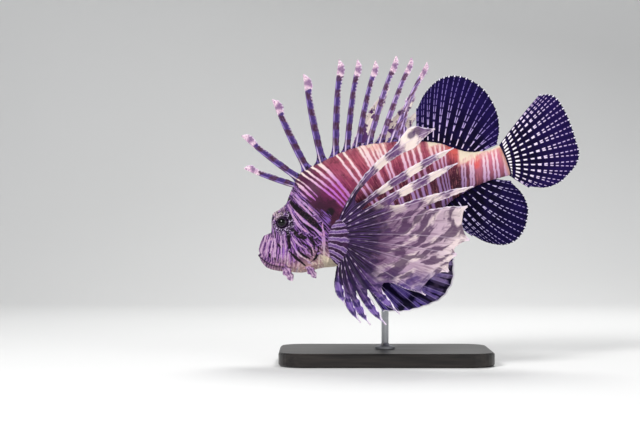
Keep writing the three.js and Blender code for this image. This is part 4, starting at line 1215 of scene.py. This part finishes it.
def pelvic_finish():
    material, shade, surface = finish("pelvic_skin", Specular_IOR_Level=0.08)
    number, aside = ray_place(shade)
    share, mm, width, across = (shade.mark(name) for name in ("share", "mm", "width", "across"))
    cloud, fine = noise(shade, 150, 3), noise(shade, 900, 3)
    upper = (across + share).within(3.2, 5.0)
    off = from_branch(shade, PELVIC_PARTS)
    beat = (mm / PELVIC_BAND - 0.22 + (cloud - 0.5) * 0.5 + number * 0.06).beats()
    finger = (width * 0.36 - off + (cloud - 0.5) * 2).inside(0.9)
    light = cloud.within(0.35, 0.7).blend((86, 66, 150), upper.blend((126, 104, 188), (178, 154, 202)))
    patch = fin_noise(shade, 16, 1.2, 0.02, 2, 5.0)
    between = ((width * 0.5 - aside.size()) * -1).inside(0.8) * share.within(0.3, 0.6)
    colour = layered(
        share.ramp([(0, (66, 44, 96)), (0.4, (44, 28, 78)), (0.8, (18, 11, 48)), (1, (12, 8, 36))]),
        ((beat + 0.55).inside(0.7) * finger, light),
        (patch.within(0.5, 0.62) * upper * 0.75, (158, 130, 180)),
        (patch.within(0.44, 0.36) * 0.8, (22, 12, 50)),
        (between * 0.7, (9, 5, 30)),
        ((0.35 - off).inside(0.3) * 0.6, (178, 160, 218)),
        ((share - 0.984).inside(0.004), (240, 234, 244)),
    )
    coated(shade, surface, colour, cloud * 0.2 + 0.38, fine, 0.0001, 0.4)
    return material


def pelvic_fin(side, material):
    rays = []
    for i, (length, rise) in enumerate(zip(PELVIC_LENGTHS, PELVIC_RISE)):
        s = PELVIC_ROOT["s"] + i * PELVIC_ROOT["step"]
        out = side * (PELVIC_ROOT["out"] - i * 0.5)
        root = place(s, belly(s) + PELVIC_ROOT["inset"] + ROOT_DEPTH, out)
        line = bent_ray(root, length, (rise - 6, rise + 6), (26, 14), side)
        rays.append(fan_ray(line, length, (1.7, 0.6) if i else (2.5, 0.8)))
    points, faces, told = fin_skin(
        rays, [1] * 5, 96, 12, 0.32, drawn_in=1.0, fork=FORK, parts=PELVIC_PARTS, sway=0.5, pleat=side * 0.1
    )
    fin = piece("pelvic_fin_skin_" + WORDS[side], points, faces, material, told)
    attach(fin, "root")
    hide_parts("pelvic_fin_" + WORDS[side])


pelvic_skin = pelvic_finish()
for side in (-1, 1):
    pelvic_fin(side, pelvic_skin)


# Pectoral fins: a fleshy base behind the gill cover that carries fourteen long rays in a wide fan.
# The upper rays are free blades, the lower ones share a web; the right fin's top blades stand higher.
RAY_LENGTHS = [124, 127, 125, 132, 125, 125, 115, 112, 101, 91, 87, 77, 67, 44]
RAY_RISE_ROOT = [67, 42, 31, 21, 14, 3, -6, -15, -34, -56, -72, -84, -92, -100]
RAY_RISE_TIP = [20, 25, 26, 15, 10, -7, -9, -16, -28, -43, -47, -52, -54, -64]
RAY_OUT = [22, 27, 30, 32, 35, 36, 38, 40, 42, 42, 39, 38, 34, 34]
RIGHT_LIFT = [(16, 35, 6, 1.1), (26, 25, 9, 1.12), (34, 21, 10, 1.08), (12, 6, 2, 1)]
WEB_SHARES = [0.17, 0.17, 0.38, 0.62, 0.93, 0.93, 0.95, 0.88, 0.56, 0.5, 0.46, 0.46, 0.46]
PALM = {
    "x": -43.5, "z": 109.5, "out": 23.5, "radius": 21, "length": 12, "thick": 5, "fan": 134, "top": 66,
    "tilt": 4, "turn": 8,
}
FLAG = {"before": 8.5, "behind": 3.5}
LOW_TAPER = 0.75
BLADE = 3


def palm_edge(i):
    """Where ray i leaves the edge of the palm: how far behind its middle, and how far above."""
    angle = np.radians(PALM["top"] - PALM["fan"] * i / (len(RAY_LENGTHS) - 1))
    return PALM["length"] * np.cos(angle), PALM["radius"] * np.sin(angle)


def pectoral_ray(i, side):
    root_lift, tip_lift, inward, stretch = RIGHT_LIFT[i] if side > 0 and i < 4 else (0, 0, 0, 1)
    behind, above = palm_edge(i)
    root = np.array([PALM["x"] - 2 + behind, side * (PALM["out"] - 1.5), PALM["z"] + above])
    flagged, blade = i == 0 and side < 0, BLADE * (side > 0 and i < 3)
    length = RAY_LENGTHS[i] * stretch
    rise = (RAY_RISE_ROOT[i] + root_lift, RAY_RISE_TIP[i] + tip_lift)
    out = RAY_OUT[i] - inward

    def edge(t, wide, reach, flag, middle, seed):
        leaf = blade * bump(t, 0.6, 0.35) + flagged * flag * bump(t, middle, 0.105)
        narrowed = 1 - LOW_TAPER * (i > 7) * eased((t - 0.74) / 0.26) ** 1.3
        rough = 0.35 + 0.3 * (blade > 0) - 0.2 * (i > 7)
        frill = rough * wander(t * length, i + seed) * eased(t * 3)
        swell = wide[1] * bump(t, 0.6, reach) + leaf
        return narrowed * (wide[0] + swell - wide[2] * bump(t, 1, 0.08)) + frill

    return {
        "at": bent_ray(root, length, rise, (out - 6, out + 4), side), "length": length,
        "before": lambda t: edge(t, (1.4, 1.8, 1.6), 0.35, FLAG["before"], 0.83, 0),
        "behind": lambda t: edge(t, (1.6, 3, 1.8), 0.3, FLAG["behind"], 0.8, 5),
        "thick": tapered(2.3, 0.7),
    }


def pectoral_finish():
    material, shade, surface = finish("pectoral_skin", Coat_Weight=0.05, Coat_Roughness=0.3)
    number, aside = ray_place(shade)
    share, mm, tip, across = (shade.mark(name) for name in ("share", "mm", "tip", "across"))
    width, raised = shade.mark("width"), shade.mark("raised")
    cloud = noise(shade, 130, 4)
    streak = fin_noise(shade, 24, 9, 0, 3, 4.0)
    low_down = (across + share * 0.6 + (cloud - 0.5) * 1.4).within(7.6, 9.4)
    top = across.within(3.6, 2.4)

    upper = share.ramp([
        (0, (26, 12, 30)), (0.18, (44, 24, 52)), (0.32, (96, 68, 98)), (0.5, (148, 118, 144)),
        (0.8, (184, 160, 174)), (1, (232, 216, 212)),
    ])
    lower = share.ramp([
        (0, (24, 10, 36)), (0.22, (46, 24, 66)), (0.5, (80, 52, 106)), (0.76, (74, 50, 120)),
        (1, (112, 90, 164)),
    ])
    light = streak.within(0.5, 0.68) * share.within(0.12, 0.3)
    cream = fin_noise(shade, 26, 1.5, 0.06, 3, 7.0) + (streak - 0.5) * 0.25
    cream = cream.within(0.52, 0.62) * share.within(0.3, 0.5) * (1 - low_down * 0.9)
    ground = layered(
        low_down.blend(upper, lower),
        (light * 0.5, low_down.blend((192, 166, 186), (118, 86, 154))),
        (streak.within(0.48, 0.34) * 0.5, low_down.blend((92, 60, 90), (40, 22, 74))),
        (cream * 0.75, (222, 204, 202)),
    )

    # Painted shade on the pleats: the skin just in front of each ray gets more dark blotches and the skin
    # just behind it fewer, so the blotches are partly real spots and partly painted shade.
    pleat_shade = aside / (width + 0.5)
    pleat_shade = pleat_shade * (1 - pleat_shade.size())
    blotch = fin_noise(shade, 17, 1.9, 0.08, 2, 1.0)
    blotch = blotch - pleat_shade * 0.1 + (streak - 0.5) * 0.22 + (cloud - 0.5) * 0.15
    spotted = ((blotch - 0.505) * 13 + 0.5).held() * share.within(0.1, 0.3)
    beat = (mm / 34 + number * 0.43 + 0.1 + (cloud - 0.5) * 0.3).beats()
    patches = (beat - 0.3 + (streak - 0.5) * 1.5).inside(0.5) * top * share.within(0.26, 0.4)
    purple = (beat * -1 - 0.45 + (streak - 0.5) * 1.5).inside(0.5) * top * share.within(0.2, 0.4)
    eyespot = 4 - ((mm - 102) ** 2 + (aside + 4) ** 2 * 1.6) ** 0.5 + (cloud - 0.5) * 4
    eyespots = eyespot.inside(2) + (3 - ((mm - 119) ** 2 + (aside + 1) ** 2) ** 0.5).inside(2)
    on_flag = ((across - 0.45) * -9).held()
    finger = (30 - tip + (cloud - 0.5) * 14).inside(8) * low_down
    from_tip = tip - (across - number).size() * 7 + (cloud - 0.5) * 7
    band = (3.2 - (from_tip - 11).size()).inside(1.5) + (2.4 - (from_tip - 25).size()).inside(1.5)
    web_root = (0.29 - share + (cloud - 0.5) * 0.3 + (streak - 0.5) * 0.3).inside(0.1)
    line = (0.4 - aside.size() + (cloud - 0.5) * 0.5).inside(0.45)
    line_colour = share.within(0.1, 0.5).blend((96, 68, 120), (200, 180, 198))
    # Painted shade: a dark line down the middle of the web between each two lower blades.
    gap = (aside.size() - width * 0.5).inside(1.2) * low_down * share.within(0.62, 0.4)
    dashes = (mm / 9 + number * 0.41 + cloud * 0.6).beats()
    beads = line * (dashes - 0.3).inside(0.5) * share.within(0.45, 0.2)
    # The right fin's top blades lie in the fish's shadow, so they are painted paler cream and lilac with
    # purple spots: their own pattern, partly painted light.
    leaf = (share.within(0.72, 0.5) * streak.within(0.35, 0.55)).blend((255, 244, 230), (170, 138, 192))
    leaf = noise(shade, 150, 3).within(0.5, 0.55).blend(leaf, (92, 52, 112))
    lit = (0.9 - low_down * 0.1 - shade.mark("ahead") + dashes * 0.5).inside(0.4)
    lit = lit * (low_down * 0.35 + 0.55) * share.within(0.1, 0.35)
    frilled = (0.7 - shade.mark("behind") + (mm / 3.7).beats() * 0.4).inside(0.5)
    colour = layered(
        ground,
        (spotted * 0.85, low_down.blend((66, 36, 72), (34, 18, 66))),
        (patches * 0.85, (232, 216, 206)),
        (purple * 0.8, (92, 56, 108)),
        ((eyespots * on_flag * 0.85).held(), (70, 42, 84)),
        (finger * 0.7, streak.within(0.4, 0.6).blend((98, 70, 146), (146, 118, 186))),
        ((band * low_down * 0.85).held(), (38, 22, 82)),
        (web_root * 0.9, streak.within(0.48, 0.64).blend((26, 12, 34), (78, 50, 104))),
        (line * (low_down * -0.22 + top * 0.2 + 0.34), line_colour),
        # painted shade between the lower blades
        (gap * 0.7, (22, 10, 36)),
        (beads * (top * 0.55 + low_down * 0.4 + 0.15), (214, 192, 220)),
        # painted light on the right fin's shadowed top blades
        (raised * 0.95, leaf),
        (lit.held(), (236, 224, 240)),
        (frilled * share.within(0.4, 0.7) * (0.5 - low_down * 0.3), (236, 220, 226)),
        ((3.5 - low_down - tip + (cloud - 0.5) * 4).inside(3) * 0.7, (226, 206, 222)),
    )
    coated(shade, surface, colour, cloud * 0.2 + 0.38, cloud * 0.6 + streak * 1.1, depth=0.0004)
    return material


def pectoral_fin(side, material):
    rays = [pectoral_ray(i, side) for i in range(len(RAY_LENGTHS))]
    points, faces, told = fin_skin(
        rays, WEB_SHARES, 140, 11, 0.4, drawn_in=1.0, sway=0.9, climb=0.1, pleat=side * 0.24
    )
    # marks the right fin's top blades, whose paler paint is partly painted light
    told["raised"] = np.clip(3 - told["across"], 0, 1) * (side > 0)
    fin = piece("pectoral_fin_skin_" + WORDS[side], points, faces, material, told)
    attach(fin, "root")
    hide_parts("pectoral_fin_" + WORDS[side])


def palm_finish():
    material, shade, surface = finish("palm_skin", Coat_Weight=0.05, Coat_Roughness=0.3)
    ray, ahead = shade.mark("ray"), shade.mark("along")
    cloud, fine = noise(shade, 220, 3), noise(shade, 700, 3)
    lilac = ahead.ramp([(0, (90, 60, 114)), (0.6, (98, 68, 128)), (1, (112, 84, 138))])
    lilac = (fine.within(0.45, 0.7) * 0.5).blend(lilac, (160, 132, 178))
    ridge = (ray * 0.5 + (cloud - 0.5) * 0.4 + (fine - 0.5) * 0.16).beats() - ahead.within(0.55, 0.95) * 0.9
    colour = layered(
        cloud.within(0.3, 0.7).blend((32, 12, 38), (62, 32, 68)),
        ((ridge + 0.12).inside(0.7), lilac),
        # a painted highlight: a pale line along the edge of each lilac ridge
        ((0.3 - (ridge - 0.15).size()).inside(0.25) * 0.6, (190, 164, 200)),
        (ahead.within(0.6, 1) * 0.6, (44, 24, 66)),
    )
    coated(shade, surface, colour, cloud * 0.2 + 0.36, fine * 0.5 + cloud, 0.0003)
    return material


PALM_FOCUS = 60  # how far ahead of the palm's middle its ridges would meet
PALM_BEND = 3.4  # how many ridges lower the rear end of a low one lies


def pectoral_base(side, material):
    a = np.linspace(0.02, math.pi - 0.02, 96)[:, None]
    b = np.linspace(0, 2 * math.pi, 108, endpoint=False)[None, :]
    x = PALM["length"] * np.sin(a) * np.cos(b)
    z = -(PALM["radius"] + 1) * np.cos(a) * np.ones_like(b)
    last = len(RAY_LENGTHS) - 1
    behind, above = palm_edge(np.arange(last + 1))
    from_focus = np.arctan2(above, behind - 6 + PALM_FOCUS)
    ray = np.interp(-np.arctan2(z, x + PALM_FOCUS), [-2, *-from_focus, 2], [-6, *range(last + 1), last + 6])
    bent_down = np.clip(0.2 - z / PALM["radius"], 0, 1) * ((x / PALM["length"] + 1) / 2) ** 2
    ray = ray - PALM_BEND * bent_down
    fold = np.cos(math.pi * ray) * np.sin(a)
    x = x * (1 + 0.02 * fold)
    y = PALM["thick"] * np.sin(a) * np.sin(b) * (1 + 0.09 * fold)
    turn, tilt = side * math.radians(-PALM["turn"]), math.radians(PALM["tilt"])
    along = (x / PALM["length"] + 1) / 2
    x, y = x * math.cos(turn) - y * math.sin(turn), x * math.sin(turn) + y * math.cos(turn)
    x, z = x * math.cos(tilt) + z * math.sin(tilt), -x * math.sin(tilt) + z * math.cos(tilt)
    points = np.stack([x + PALM["x"] + 4, y + side * (PALM["out"] - 4), z + PALM["z"]], -1)
    marks = {"ray": ray * np.ones_like(x), "along": along}
    base = grid_piece("pectoral_base_skin_" + WORDS[side], points, material, marks)
    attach(base, "root")


pectoral_skin, palm_skin = pectoral_finish(), palm_finish()
for side in (-1, 1):
    pectoral_fin(side, pectoral_skin)
    pectoral_base(side, palm_skin)


# The stand: a flat plate of dark stained wood under satin lacquer, and one turned steel rod screwed
# into it that carries the belly.
def stand_finishes():
    wood, shade, surface = finish("stand_plate", Coat_Weight=0.35, Coat_Roughness=0.3)
    grain = noise(shade, 60, 6, lengthen=(0.18, 2.2, 2.2))
    fine = noise(shade, 700, 3, lengthen=(0.06, 1, 1))
    colour = (grain.within(0.35, 0.65) * 0.7 + fine.within(0.4, 0.6) * 0.3).blend((22, 20, 20), (50, 45, 42))
    coated(shade, surface, colour, grain * 0.25 + 0.32, fine, 0.0001, 0.3)
    steel, shade, surface = finish("stand_steel", Metallic=1.0)
    turned = noise(shade, 500, 3, lengthen=(1, 1, 14))
    colour = turned.blend((150, 152, 156), (196, 198, 202))
    coated(shade, surface, colour, turned * 0.25 + 0.2, turned, 0.00005, 0.25)
    return {"stand_base": wood, "stand_rod": steel}


for node, material in stand_finishes().items():
    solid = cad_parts[node]
    solid.data.materials.clear()
    solid.data.materials.append(material)
